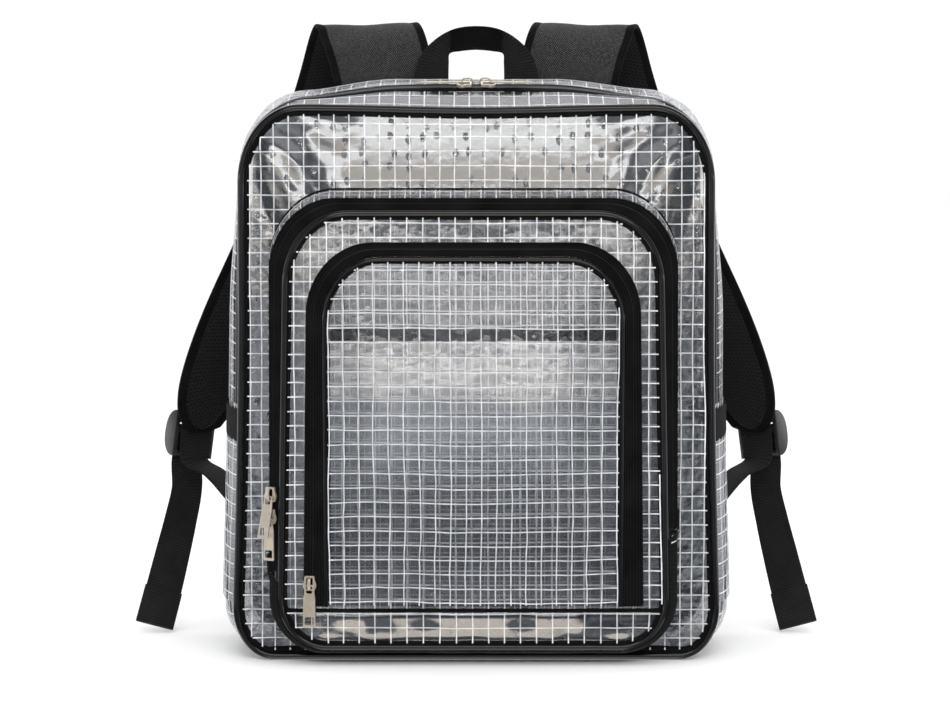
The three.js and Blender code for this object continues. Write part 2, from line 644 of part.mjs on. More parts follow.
function buildZipHardware() {
  const above = TAPE / 2;
  const main = (u, t) => wall(u, t);
  for (const [side, station] of Object.entries(MAIN_SLIDER_STATION)) {
    const { at, travel, outward } = zipFrame(main, station, zipAcross(station), above);
    if (outward.z < 0) outward.negate();
    at.copy(main(station, zipAcross(station))).addScaledVector(outward, above);
    const inward = side === "left" ? vec(1, 0, 0) : vec(-1, 0, 0);
    const run = travel.multiplyScalar(Math.sign(travel.dot(inward)));
    addSlider(`main_slider_${side}`, `main_pull_${side}`, at, run, outward);
  }
  const chain = 0.34;
  for (const side of ["upper", "lower"]) {
    const z = FRONT_SLIDER_Z[side];
    const outerX = -halfWidth(inset(POCKET_OUTER, GAP), z) + POCKET_SHIFT;
    const innerX = -halfWidth(inset(POCKET_PIPE, -(POCKET_PIPE_R + GAP)), z) + POCKET_SHIFT;
    const outer = vec(outerX, POCKET_ZIP_Y - 1, z);
    const inner = vec(innerX, POCKET_FACE_Y + 0.5, z);
    const over = inner.clone().sub(outer).normalize();
    const outward = vec(0, 0, 1).cross(over).normalize();
    if (outward.y > 0) outward.negate();
    const at = outer.clone().lerp(inner, chain).addScaledVector(outward, above);
    const lift = FRONT_SLIDER_LIFT[side];
    addSlider(`front_slider_${side}`, `front_pull_${side}`, at, vec(0, 0, 1), outward, lift);
  }
  const z = SMALL_SLIDER_Z;
  const outerX = -halfWidth(SMALL_OUTER, z);
  const innerX = -halfWidth(inset(SMALL_PIPE, -(SMALL_PIPE_R + GAP)), z);
  const outer = vec(outerX + POCKET_SHIFT, pocketFaceY(outerX, z) - 1.4, z);
  const inner = vec(innerX + POCKET_SHIFT, pocketFaceY(innerX, z) - 2.6, z);
  const outward = vec(0, 0, 1).cross(inner.clone().sub(outer)).normalize();
  if (outward.y > 0) outward.negate();
  const at = outer.clone().lerp(inner, chain).addScaledVector(outward, above);
  addSlider("small_slider", "small_pull", at, vec(0, 0, 1), outward);
}

function buildHandle() {
  const mirror = ({ outX, inX, ...rest }) => ({ ...rest, outX: -outX, inX: -inX });
  const all = [...HANDLE_ROWS, ...HANDLE_ROWS.slice(0, -1).reverse().map(mirror)];
  const outer = new THREE.CatmullRomCurve3(all.map((r) => vec(r.outX, r.outY, r.outZ)));
  const inner = new THREE.CatmullRomCurve3(all.map((r) => vec(r.inX, r.inY, r.inZ)));
  const rows = steps(0, 1, 26).map((k) => {
    const [a, b] = [outer.getPoint(k), inner.getPoint(k)];
    return [a, a.clone().lerp(b, 0.5), b];
  });
  add("grab_handle", sheet(rows, HANDLE_THICK), "web");
}

const STRAP_CURVE = new THREE.CatmullRomCurve3(STRAP_ROWS.map((r) => vec(r.x, r.y, r.z)));

// A column of the strap table, read between its rows
function strapValue(column, k) {
  const at = clamp(k, 0, 1) * (STRAP_ROWS.length - 1);
  const i = Math.min(Math.floor(at), STRAP_ROWS.length - 2);
  return lerp(STRAP_ROWS[i][column], STRAP_ROWS[i + 1][column], at - i);
}

function strapFrame(k) {
  const centre = STRAP_CURVE.getPoint(k);
  const tangent = STRAP_CURVE.getTangent(k);
  const lean = degToRad(strapValue("lean", k));
  const yaw = degToRad(strapValue("yaw", k));
  const over = vec(Math.cos(lean) * Math.cos(yaw), -Math.sin(yaw), Math.sin(lean) * Math.cos(yaw));
  over.addScaledVector(tangent, -over.dot(tangent)).normalize();
  return { centre, tangent, over };
}

function strapPoint(k, w) {
  const { centre, over } = strapFrame(k);
  return centre.addScaledVector(over, w);
}

function buildStrapPads() {
  const edge = BINDING.width + SEAM_GAP;
  const tip = 0.975;
  const count = 24;
  const profile = [-1, -0.55, 0, 0.55, 1];
  const coreRows = steps(0, tip, count).map((k) => {
    const half = Math.max(strapValue("half", k / tip) - edge, 2);
    return profile.map((p) => strapPoint(k, p * half));
  });
  const swell = (i, j) => {
    const full = strapValue("thick", i / count);
    return Math.abs(profile[j]) === 1 ? BINDING.thick : full;
  };
  const core = add("strap_pad_right", sheet(coreRows, swell), "mesh");
  addMirrored("strap_pad_left", core);

  const side = steps(0, 1, count);
  const around = [...side.map((k) => [k, -1]), ...side.slice().reverse().map((k) => [k, 1])];
  const bindRows = around.map(([k, sign]) => {
    const half = strapValue("half", k);
    const inner = Math.max(half - BINDING.width, 2 + GAP);
    const reach = lerp(1, tip + 0.006, 1);
    return [strapPoint(k, sign * half), strapPoint(k * reach, sign * inner)];
  });
  const binding = add("strap_binding_right", sheet(bindRows, BINDING.thick), "black");
  addMirrored("strap_binding_left", binding);
}

// A strip of webbing along rows that give its middle and its width direction, read at places from 0 to 1
function ribbon(rows, places, width = () => WEBBING_WIDTH) {
  const middle = new THREE.CatmullRomCurve3(rows.map((r) => r.at), false, "centripetal");
  const over = new THREE.CatmullRomCurve3(rows.map((r) => r.over), false, "centripetal");
  return places.map((k) => {
    const p = middle.getPoint(k);
    const tangent = middle.getTangent(k);
    const w = over.getPoint(k);
    w.addScaledVector(tangent, -w.dot(tangent)).normalize();
    return [-0.5, 0.5].map((s) => p.clone().addScaledVector(w, s * width(k)));
  });
}

function lockGeometry() {
  const { top, foot, front, back, inner, outer, round } = LOCK_CHEEK;
  const [middle, half] = [(top + foot) / 2, (top - foot) / 2];
  const arc = steps(-0.5, 0.5, 16).map((k) => {
    const s = Math.sin(k * Math.PI);
    return [front - (front - back) * (1 - Math.abs(s) ** round) ** (1 / round), middle + half * s];
  });
  const cheek = new THREE.ExtrudeGeometry(polygon(arc), { depth: outer - inner, bevelEnabled: false });
  const turned = new THREE.Matrix4().makeBasis(vec(0, 0, 1), vec(0, 1, 0), vec(-1, 0, 0));
  cheek.applyMatrix4(turned);
  const cheeks = [-inner, outer].map((x) => toManifold(cheek.clone().translate(x, 0, 0)));
  const bars = LOCK_BARS.map(({ low, high }) => {
    const bar = new THREE.BoxGeometry(2 * inner + 1, high - low, LOCK_BAR_THICK);
    return toManifold(bar.translate(0, (low + high) / 2, 0));
  });
  return fromManifold([...cheeks, ...bars].reduce((whole, solid) => whole.add(solid)));
}

function buildStrapHardware() {
  const { centre, tangent, over } = strapFrame(LOCK_AT);
  const up = tangent.clone().negate();
  const wearer = over.clone().cross(up);
  const middle = centre.addScaledVector(wearer, -LOCK_STAND).addScaledVector(up, -LOCK_DROP);
  const place = new THREE.Matrix4().makeBasis(over, up, wearer).setPosition(middle);

  addMirrored("ladder_lock_left", add("ladder_lock_right", lockGeometry(), "lock", place));

  const turn = steps(0, Math.PI, 6).map((a) => [LOOP.turn - 1.4 * Math.sin(a), LOOP.stand * Math.cos(a)]);
  const backLeg = [[LOOP.rise, -LOOP.stand], [LOOP.back, LOOP.backStand]];
  const loopPath = [[LOOP.front, LOOP.frontStand], ...turn, ...backLeg];
  const loopRows = loopPath.map(([a, n]) => [-0.5, 0.5].map((s) => vec(s * WEBBING_WIDTH, a, n)));
  addMirrored("pad_loop_left", add("pad_loop_right", sheet(loopRows, WEBBING), "web", place));

  const free = ({ x, y, z, wx, wy, wz }) => ({ at: vec(x, y, z), over: vec(wx, wy, wz).normalize() });
  const lockPoint = (r) => vec(0, r.along, r.out).applyMatrix4(place);
  const wrap = WRAP_ROWS.map((r) => ({ at: lockPoint(r), over: over.clone() }));
  const rows = [...ANCHOR_ROWS.map(free), ...wrap, ...TAIL_ROWS.map(free)];
  const hem = (rows.length - 2) / (rows.length - 1);
  const places = [...steps(0, hem - 0.001, 46), ...steps(hem + 0.001, 1, 4)];
  const strip = ribbon(rows, places, (k) => (k > hem ? TAIL_HEM.width : WEBBING_WIDTH));
  const webbing = sheet(strip, (i) => (places[i] > hem ? TAIL_HEM.thick : WEBBING));
  addMirrored("lower_webbing_left", add("lower_webbing_right", webbing, "web"));

  const tab = sheet(ribbon(TAB_ROWS.map(free), steps(0, 1, 2)), TAB_THICK);
  addMirrored("anchor_tab_left", add("anchor_tab_right", tab, "web"));
}

buildBody();
buildSidePockets();
buildFrontPocket();
buildSmallPocket();
buildZipHardware();
buildHandle();
buildStrapPads();
buildStrapHardware();

export default group;
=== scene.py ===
"""Clear film tool backpack: its looks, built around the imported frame. Shapes are in millimetres."""

import math
from collections import namedtuple

import bpy
import numpy as np
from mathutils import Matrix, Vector


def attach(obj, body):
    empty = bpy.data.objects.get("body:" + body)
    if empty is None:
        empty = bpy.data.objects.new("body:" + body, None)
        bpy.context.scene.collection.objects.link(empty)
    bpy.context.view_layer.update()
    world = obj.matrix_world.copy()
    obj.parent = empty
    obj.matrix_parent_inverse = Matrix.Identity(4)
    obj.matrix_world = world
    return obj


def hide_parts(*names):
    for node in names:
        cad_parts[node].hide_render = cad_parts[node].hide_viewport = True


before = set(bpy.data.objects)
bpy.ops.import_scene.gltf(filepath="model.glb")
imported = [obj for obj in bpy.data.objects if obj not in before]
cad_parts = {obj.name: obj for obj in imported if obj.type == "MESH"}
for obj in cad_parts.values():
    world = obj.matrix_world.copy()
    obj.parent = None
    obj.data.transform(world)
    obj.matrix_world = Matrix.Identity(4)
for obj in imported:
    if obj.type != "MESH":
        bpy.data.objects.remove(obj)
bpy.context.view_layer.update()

MM = 0.001
BAG = "bag"

# Camera: the picture's width and the focal length in pixels, its place and what it looks at
IMAGE_WIDTH = 950
FOCAL_PIXELS = 3147.0
SENSOR = 36.0
CAMERA_AT = (0.0, -2259.0, 375.0)
CAMERA_LOOKS_AT = (-0.9, -59.0, 214.5)

# Outlines seen from the front; the low and high corners are (across, up)
Outline = namedtuple("Outline", "bottom top half_bottom half_top waist low high")
FRONT_SEAM = Outline(2.75, 388.5, 170, 164.5, 2.5, (28, 36), (42, 53))
BACK_SEAM = Outline(2.75, 398, 167, 162, 1.5, (28, 36), (42, 53))
POCKET_SEAM = Outline(8.4, 331.4, 142, 142, 0, (34, 36), (46, 52))
POCKET_OUTER = Outline(10.6, 326, 142.5, 142, 0, (34, 36), (46, 52))
POCKET_PIPE = Outline(12.8, 315.5, 135, 129.5, 0, (33, 35), (43, 48))
SMALL_OUTER = Outline(41, 295.5, 118.5, 115.5, 0, (1, 1), (46, 50))
SMALL_PIPE = Outline(41, 284, 102.5, 103.5, 0, (1, 1), (40, 44))

# Body: depth of its seams, how far its wall bulges, and how the wall draws in at the shoulders
PIPING_R = 2.75
FRONT_Y = -59.0
BACK_Y = 59.0
EDGE = 3.05
BULGE_SIDE = 13.0
BULGE_TOP = 15.5
BULGE_BASE = 2.25
SHOULDER_SHARE = 0.5
SHOULDER_HEIGHTS = (240.0, 345.0)
SHOULDER_WIDTHS = (55.0, 130.0)
FRONT_CROWN = 2.0

# Wall: millimetres for each unit of its coordinates, its film's two edges, and its first threads
WALL_SPAN = 112.0
STATION_SPAN = 115.0
BASE_HALF = 142.0
SIDE_RISE = 297.0
WALL_EDGES = (0.004, 0.996)
WALL_FIRST = 0.045
BASE_FIRST = (-0.97, 0.05)

# Front seam's top, which hangs down in the middle: drop, width, heights and depths between which it grows
SAG_DROP = 2.4
SAG_WIDTH = 78.0
SAG_HEIGHTS = (366.0, 386.0)
SAG_DEPTHS = (40.0, 57.0)

# Pleat of the front panel by each top corner: direction across it, where its slopes begin and end, height
FOLD_ACROSS = (0.92, -0.39)
FOLD_UP = (-40.0, -22.0)
FOLD_DOWN = (-8.0, 14.0)
FOLD_HEIGHT = 1.5
FOLD_FROM = (172.0, 396.0)

# Main zip: foot, half width, place across the wall, where it turns, and how the film closes over it
ZIP_FOOT = 180.0
ZIP_HALF = 0.058
ZIP_AT_TOP = 0.256
ZIP_AT_SIDE = 0.095
ZIP_TURN = (4.4, 3.6)
ZIP_TICKS_BELOW = 3.0
ZIP_SQUEEZE = 0.8
ZIP_STEP = 3.0

# Side pockets: heights of the film's foot and of the band above it, and how far they stand off the wall
SIDE_POCKET_FOOT = 40.0
SIDE_BAND = (154.0, 176.0)
SIDE_STAND = 1.5
SIDE_SWELL = 0.5
SIDE_EDGES = (0.02, 0.98)
SIDE_FIRST = (0.02, 0.09)

# Front pocket: it stands a little to the left; the heights at which its zip ends are left and right
SHIFT = -2.0
POCKET_PIPE_R = 2.4
POCKET_ZIP_Y = -78.0
POCKET_FACE_Y = -83.5
POCKET_CROWN = 5.0
POCKET_ZIP_FOOT = (66.0, 97.0)
ZIP_BARTACKS = (0.012, 0.025, 0.047)
POCKET_WALL_THREAD = 0.35

# Small pocket, its hem, and the slip pocket behind it, whose slack film leans back above its peak
SMALL_PIPE_R = 1.6
SMALL_STAND = 3.4
SMALL_CROWN = 6.0
HEM_HALF = 129.4
HEM_HEIGHTS = (37.8, 40.4)
HEM_THICK = (0.8, 1.6, 1.6, 0.8)
SLIP_HALF = 99.0
SLIP_FOOT = 46.0
SLIP_BAND = (227.4, 235.6)
SLIP_BAND_THICK = (0.7, 1.2, 1.2, 1.2, 1.2, 0.7)
SLIP_STAND = 1.7
SLIP_PEAK = 188.0
SLIP_LEAN = 0.0498
SLIP_BOW = 0.000115

# Film and the threads in it
FILM = 0.6
FILM_STEP = 2.6
FRONT_FILM_STEP = 1.9
THREAD_WIDTH = 0.88
THREAD_HEIGHT = 0.32
THREAD_STEP = 5.0
PITCH_X = 10.56
PITCH_Z = 10.07
POCKET_PITCH = 11.2
# How far threads stand forward over a tape, and off the middle of their film low on the sides
TAPE_LIFT = 1.3
THREAD_LIFT = 0.45
# The outermost threads draw in, and bend along the rim where it narrows slowly
EDGE_DRAW = 4.4
EDGE_DRAW_FROM = (145.0, 163.0)
EDGE_BEND = 3.5
EDGE_SLOW = 0.12

# First thread beside the middle and below the top, pitch, how unsteady the threads run, seed of the noise
Weave = namedtuple("Weave", "x z pitch unsteady seed")
FRONT_WEAVE = Weave(-4.3, 9.3, PITCH_X, 1.0, 51)
POCKET_WEAVE = Weave(-1.1, 6.0, POCKET_PITCH, 1.3, 71)
SMALL_WEAVE = Weave(5.1, 7.0, PITCH_X, 2.0, 81)

# Zip: place of the chain across the tape, teeth, and the tape's rows of (across, lift)
CHAIN_AT = 0.34
TOOTH_PITCH = 1.5
TOOTH = (2.7, 0.85, 0.9)
TOOTH_TOP = (0.75, 0.7, 1.0)
TAPE_OUTER = [(0, 0), (0.05, 0.15), (0.12, 0.2), (0.2, 0.3)]
TAPE_CHAIN = [(-0.12, 0.35), (-0.1, -0.1), (0, -0.25), (0.1, -0.1), (0.12, 0.35)]
TAPE_INNER = [(0.68, 0.3), (0.8, 0.25), (0.93, 0.15), (1.0, 0)]

# Zip hardware: half outlines as rows of (across, along, corner radius); the slider's plates as rows of
# (middle, thickness, bevel); and its bridge
SLIDER_RIM = [(3.5, 5.2, 0.7), (3.6, 2.2, 0.8), (4.8, -0.6, 1.2), (4.6, -2.8, 1.0), (3.3, -5.2, 0.8)]
SLIDER_SLOT = [(2.2, 3.9, 0.6), (2.2, -4.0, 0.6)]
PULL_RIM = [(3.4, 0.0, 2.6), (3.6, -6.0, 1.5), (4.15, -9.0, 1.5), (4.45, -29.9, 1.2)]
PULL_EYE = [(2.2, -1.25, 1.0), (2.2, -6.2, 1.7)]
PULL_WINDOW = [(3.0, -22.6, 0.7), (3.1, -28.0, 0.7)]
PULL_THICK = 1.2
PULL_BEVEL = 0.24
SLIDER_PLATES = [(0.85, 1.2, 0.25), (2.0, 1.3, 0.35)]
BRIDGE_REACH = 4.0
BRIDGE_FOOT = 1.8
BRIDGE_WIDTH = 2.2
BRIDGE_THICK = 1.3
# Slider, pull, travel, how far the bridge stands forward, its rise, and how level the pull lies
HARDWARE = [
    ("main_slider_left", "main_pull_left", (1.0, 0, 0), 2.2, 4.6, 0.9),
    ("main_slider_right", "main_pull_right", (-1.0, 0, 0), 2.2, 4.6, 0.9),
    ("front_slider_upper", "front_pull_upper", (0, 0, 1.0), 0.0, 3.1, 0.0),
    ("front_slider_lower", "front_pull_lower", (0, 0, 1.0), 0.0, 3.1, 0.0),
    ("small_slider", "small_pull", (0, 0, 1.0), 0.0, 3.1, 0.0),
]
LOCK_BEVEL = 1.1

# Grab handle: outer and inner edge of half of the webbing
HANDLE_THICK = 1.6
HANDLE_WIDTH = 25.6
HANDLE_UNDERSIDE = 19.2
HANDLE_ROWS = [
    (46, 60.7, 382, 20.4, 60.7, 382),
    (46, 62.9, 394, 20.4, 62.9, 394),
    (46, 62.9, 410, 20.4, 62.9, 410),
    (41, 62.0, 427, 20.2, 63.5, 421.5),
    (30, 60.5, 439, 19.7, 66.5, 428.6),
    (16, 59.0, 446.5, 12.5, 74, 430.8),
    (0, 58.5, 448.5, 0, 77, 432),
]

# Shoulder strap, right side: centre x, y, z, half width, thickness, lean and yaw of the width direction
STRAP_ROWS = np.array([
    (64, 62.6, 364, 36, 5, -8, 0),
    (65, 69.2, 390, 36.5, 8, -10, 0),
    (69, 72, 416, 37, 9, -10, 0),
    (75, 82, 437.5, 37, 9, -8, 0),
    (82, 102, 446.5, 37, 9, -2, 0),
    (90, 121, 434, 36.5, 9, 9, 0),
    (100, 130, 402, 36, 9, 20, 0),
    (114, 131, 362, 35, 9, 23, 2),
    (134, 126, 315, 34, 9, 25, 5),
    (157, 117, 267, 32.5, 9, 26, 9),
    (173, 109, 236, 31, 9, 26, 14),
    (187, 101, 208, 29, 9, 25, 21),
    (198, 94.5, 184, 26.5, 8, 20, 29),
    (204, 91, 166, 24, 7, 14, 36),
    (206.5, 89.5, 153.5, 18.5, 6, 10, 40),
    (207.3, 89, 147, 8.5, 5, 8, 41),
], float)
STRAP_TIP = 0.975
BINDING_WIDTH = 7.0
BINDING_THICK = 3.6

# Ladder lock and webbing, right side. The lock's place on the strap; the loop's and wrap's (up, out)
# places on the lock; and rows of x, y, z and the width direction.
WEBBING = 1.5
WEBBING_WIDTH = 27.0
LOCK_AT = 0.955
LOCK_STAND = 8.3
LOCK_DROP = 6.5
LOOP_FRONT = (21.0, 3.1)
LOOP_BACK = [(18.0, -3.05), (23.0, -0.4)]
LOOP_TURN = (10.0, 1.4, 3.05)
WRAP_ROWS = [
    (-19, 8.5),
    (-9, 4.8),
    (0, 3.7),
    (4.4, 3.4),
    (6, 1.9),
    (6.4, 0),
    (6, -1.9),
    (4.4, -3.5),
    (-7, -3.5),
    (-19, -4),
]
ANCHOR_ROWS = [
    (169.2, 67.5, 87.7, 0.55, -0.83, 0.02),
    (181.8, 76.3, 102.6, 0.55, -0.83, 0.02),
    (195, 83, 116, 0.6, -0.8, 0.05),
]
TAIL_ROWS = [
    (218, 99.5, 104, 0.79, -0.6, 0.1),
    (222.6, 94, 79.3, 0.84, -0.51, 0.18),
    (228, 85, 55, 0.9, -0.37, 0.21),
    (233.5, 73.5, 30.5, 0.95, -0.21, 0.23),
    (239.3, 60, 5.6, 0.965, -0.08, 0.24),
]
TAIL_HEM_WIDTH = 28.6
TAIL_HEM_THICK = 3.2
TAB_ROWS = [(165.6, 64.9, 80.4, 0.55, -0.83, 0.02), (177.6, 73.2, 94.4, 0.55, -0.83, 0.02)]
TAB_THICK = 2.0

# Back pad: thickness at the rim, how much thicker it is inside, and over what width it grows
BACK_RIM = 2.0
BACK_SWELL = 4.0
BACK_SOFT = 14.0

# Film looks: heights of each cell's tilt, pillow and pit; size of the wrinkles, their height low and high
# on the bag and the levels between which it grows; limits of roughness; alpha; index of refraction
FILM_HAZE = (0.075, 0.085, 0.10, 1.0)
FILMS = {
    "smooth_film": (0.012, 0.004, 0.32, (7.0, 0.25, 0.02, 310.0, 335.0), (0.02, 0.05), 0.2, 6.0),
    "covered_film": (0.03, 0.01, 0.1, (7.0, 0.1, 0.1, 310.0, 335.0), (0.35, 0.5), 0.1, 6.0),
    "strip_film": (0.01, 0.01, 0.1, (9.0, 0.05, 0.05, 310.0, 335.0), (0.03, 0.06), 0.2, 6.0),
    "puckered_film": (0.35, 0.15, 0.2, (9.0, 0.25, 0.25, 0.0, 400.0), (0.05, 0.12), 0.2, 6.0),
    "side_film": (0.2, 0.1, 0.1, (9.0, 0.15, 0.15, 0.0, 400.0), (0.05, 0.12), 0.45, 1.9),
    "crinkled_film": (0.12, 0.05, 0.1, (8.0, 0.12, 0.24, 205.0, 245.0), (0.05, 0.12), 0.16, 6.0),
    "wrinkled_film": (0.06, 0.03, 0.1, (7.5, 0.08, 0.4, 180.0, 245.0), (0.05, 0.12), 0.1, 6.0),
}

# Plain looks: shader values; tone as noise scale, detail and upper stop; dark and light colour;
# roughness as noise scale, detail and limits; relief as noise scale, detail, height and strength
THREAD = dict(Roughness=0.55)
THREAD_TONE = (0.16, 3.0, 0.7)
THREAD_RELIEF = (3.0, 1.0, 0.15, 0.5)
PLAIN = {
    "white_thread": (THREAD, THREAD_TONE, (0.50, 0.52, 0.55), (0.86, 0.87, 0.89), None, THREAD_RELIEF),
    "soft_thread": (THREAD, THREAD_TONE, (0.42, 0.435, 0.465), (0.70, 0.715, 0.75), None, THREAD_RELIEF),
    # painted shade: a darker copy of the white thread, for threads lying behind the pockets' film where less
    # light reaches
    "covered_thread": (THREAD, THREAD_TONE, (0.24, 0.25, 0.27), (0.46, 0.475, 0.50), None, THREAD_RELIEF),
    "black_piping": (dict(Roughness=0.06, Specular_IOR_Level=0.36), (0.06, 3.0, 0.75),
                     (0.003, 0.003, 0.0035), (0.008, 0.008, 0.009),
                     (0.4, 3.0, 0.05, 0.12), (0.5, 2.0, 0.08, 0.3)),
    "black_stitch": (dict(Roughness=0.36, Specular_IOR_Level=0.5), (0.9, 2.0, 0.7),
                     (0.012, 0.012, 0.012), (0.03, 0.03, 0.03), None, None),
    "pale_gold": (dict(Metallic=0.9, Roughness=0.36), (0.25, 3.0, 0.7),
                  (0.58, 0.52, 0.43), (0.68, 0.62, 0.52), (1.4, 3.0, 0.34, 0.5), (0.9, 2.0, 0.05, 0.35)),
    "slate_lining": (dict(Roughness=0.9, Specular_IOR_Level=0.05), (0.03, 3.0, 0.7),
                     (0.013, 0.0145, 0.017), (0.022, 0.024, 0.028), None, None),
    "grey_plastic": (dict(Roughness=0.4), (0.12, 3.0, 0.7),
                     (0.012, 0.012, 0.012), (0.022, 0.022, 0.022),
                     (0.8, 2.0, 0.34, 0.5), (2.2, 2.0, 0.08, 0.4)),
}

# What the gloss reflects: sine of the height above the horizon, colour
REFLECTED = [
    (-0.5, (0.62, 0.57, 0.51)),
    (-0.465, (0.62, 0.57, 0.51)),
    (-0.445, (0.09, 0.094, 0.102)),
    (-0.37, (0.09, 0.094, 0.102)),
    (-0.33, (0.04, 0.042, 0.046)),
    (-0.19, (0.025, 0.025, 0.028)),
    (-0.145, (0.17, 0.178, 0.19)),
    (-0.10, (0.26, 0.27, 0.285)),
    (-0.036, (0.20, 0.208, 0.222)),
    (-0.02, (0.44, 0.41, 0.37)),
    (0.0215, (0.51, 0.475, 0.44)),
    (0.0245, (1.0, 1.0, 1.0)),
    (0.045, (1.0, 1.0, 1.0)),
    (0.06, (0.17, 0.17, 0.175)),
    (0.085, (0.08, 0.08, 0.085)),
    (0.13, (0.24, 0.24, 0.247)),
    (0.25, (0.24, 0.24, 0.247)),
    (0.34, (0.03, 0.03, 0.03)),
    (0.85, (0.03, 0.03, 0.03)),
    (1.0, (0.22, 0.22, 0.22)),
]
# The white surroundings behind the bag, in the same columns
BACKDROP = [
    (-0.5, (0.28, 0.28, 0.29)),
    (0.0, (0.42, 0.42, 0.43)),
    (0.3, (0.45, 0.45, 0.46)),
    (0.6, (0.50, 0.50, 0.51)),
]
# How much of what is in front is left to the sides: sideways part of the direction, share
WINDOW = [
    (-0.80, 1.0),
    (-0.55, 0.17),
    (-0.27, 0.17),
    (-0.16, 1.0),
    (0.09, 1.0),
    (0.20, 0.17),
    (0.55, 0.17),
    (0.80, 1.0),
]
# Backward part of the direction over which the surroundings behind the bag take over
BEHIND_FROM = (-0.1, 0.3)
# Strength of the reflections, of the even light, and of what the camera sees round the bag
REFLECTED_STRENGTH = 4.2
SOFT_STRENGTH = 1.0
SEEN_STRENGTH = 1.05
FLOOR_SIZE = 16.0
# Name, place and target in metres, width, height, watts, whether the gloss shows it
LIGHTS = [
    ("key", (0.25, -2.3, 1.4), (0, 0, 0.25), 1.8, 0.55, 24, True),
    ("top", (0, 0.3, 2.6), (0, 0.1, 0), 2.4, 2.0, 18, False),
]


# Numbers and noise

def lerp(a, b, k):
    return a + (b - a) * k


def smooth(x, low, high):
    k = np.clip((x - low) / (high - low), 0, 1)
    return k * k * (3 - 2 * k)


def lattice(i, j, seed):
    """A fixed number from 0 to 1 for each whole pair i, j."""
    value = np.sin(i * 127.1 + j * 311.7 + seed * 74.7) * 43758.5453
    return value - np.floor(value)


def ease(k):
    return k * k * k * (k * (k * 6 - 15) + 10)


def noise(x, y, size, seed):
    """Smooth noise from -1 to 1 with features of about the given size."""
    u, v = np.asarray(x) / size, np.asarray(y) / size
    i, j = np.floor(u), np.floor(v)
    a, b = ease(u - i), ease(v - j)
    low = lerp(lattice(i, j, seed), lattice(i + 1, j, seed), a)
    high = lerp(lattice(i, j + 1, seed), lattice(i + 1, j + 1, seed), a)
    return 2 * lerp(low, high, b) - 1


def unit(v):
    return v / np.maximum(np.linalg.norm(v, axis=-1, keepdims=True), 1e-9)


def square_to(v, axis):
    """The part of each direction that is square to another, as a unit."""
    return unit(v - axis * np.sum(v * axis, axis=-1, keepdims=True))


def points(x, y, z):
    return np.stack(np.broadcast_arrays(x, y, z), axis=-1).astype(float)


def path_length(path):
    """Length of a path up to each of its points."""
    return np.concatenate([[0], np.cumsum(np.linalg.norm(np.diff(path, axis=0), axis=1))])


def spline(rows, k, centripetal=False):
    """Catmull-Rom through the rows, read at k from 0 to 1."""
    rows = np.asarray(rows, float)
    last = len(rows) - 1
    at = np.clip(np.asarray(k, float), 0, 1) * last
    i = np.minimum(at.astype(int), last - 1)
    t = (at - i)[:, None]
    longer = np.vstack([2 * rows[0] - rows[1], rows, 2 * rows[-1] - rows[-2]])
    p0, p1, p2, p3 = (longer[i + n] for n in range(4))
    if not centripetal:
        second, third = 2 * p0 - 5 * p1 + 4 * p2 - p3, 3 * p1 - p0 - 3 * p2 + p3
        return 0.5 * (2 * p1 + (p2 - p0) * t + second * t**2 + third * t**3)
    gaps = [np.linalg.norm(b - a, axis=1, keepdims=True) for a, b in ((p0, p1), (p1, p2), (p2, p3))]
    d0, d1, d2 = (np.maximum(gap**0.5, 1e-4) for gap in gaps)
    m1 = ((p1 - p0) / d0 - (p2 - p0) / (d0 + d1) + (p2 - p1) / d1) * d1
    m2 = ((p2 - p1) / d1 - (p3 - p1) / (d1 + d2) + (p3 - p2) / d2) * d1
    ends = (2 * t**3 - 3 * t**2 + 1) * p1 + (3 * t**2 - 2 * t**3) * p2
    return ends + (t**3 - 2 * t**2 + t) * m1 + (t**3 - t**2) * m2


# Outlines: the station runs 0 to 9 from the middle of the bottom edge round by the right

def inset(o, d):
    low, high = (tuple(max(v - d, 0.4) for v in corner) for corner in (o.low, o.high))
    return Outline(o.bottom + d, o.top - d, o.half_bottom - d, o.half_top - d, o.waist, low, high)


def half_width(o, z):
    k = np.clip((z - o.bottom) / (o.top - o.bottom), 0, 1)
    low = np.clip((o.bottom + o.low[1] - z) / o.low[1], 0, 1)
    high = np.clip((z - o.top + o.high[1]) / o.high[1], 0, 1)
    side = lerp(o.half_bottom, o.half_top, k) - o.waist * np.sin(np.pi * k)
    return side - o.low[0] * (1 - np.sqrt(1 - low**2)) - o.high[0] * (1 - np.sqrt(1 - high**2))


def right_side(station):
    """The station on the right that mirrors a station on the left."""
    return np.where(station > 4.5, 9 - station, station)


def ring_point(o, station):
    u = np.asarray(station, float)
    v = right_side(u)
    foot, head = o.bottom + o.low[1], o.top - o.high[1]
    low_corner = o.bottom + o.low[1] * (1 - np.cos((v - 1) * np.pi / 2))
    high_corner = o.top - o.high[1] * (1 - np.sin((v - 3) * np.pi / 2))
    z = np.select([v <= 1, v <= 2, v <= 3, v <= 4],
                  [o.bottom + 0 * v, low_corner, lerp(foot, head, v - 2), high_corner], o.top)
    x = half_width(o, z) * np.where(v < 1, v, 1) * np.where(v > 4, 1 - (v - 4) / 0.5, 1)
    return np.where(u > 4.5, -x, x), z


def ring_normal(o, station):
    ax, az = ring_point(o, station - 0.002)
    bx, bz = ring_point(o, station + 0.002)
    length = np.hypot(bx - ax, bz - az)
    return (bz - az) / length, (ax - bx) / length


def station_at(o, z):
    foot = o.bottom + o.low[1]
    return float(2 + (z - foot) / (o.top - o.high[1] - foot))


def run_length(o, start, end):
    """Fine stations along an outline, and the length of the outline up to each."""
    fine = np.linspace(start, end, 4001)
    return fine, path_length(np.stack(ring_point(o, fine), axis=1))


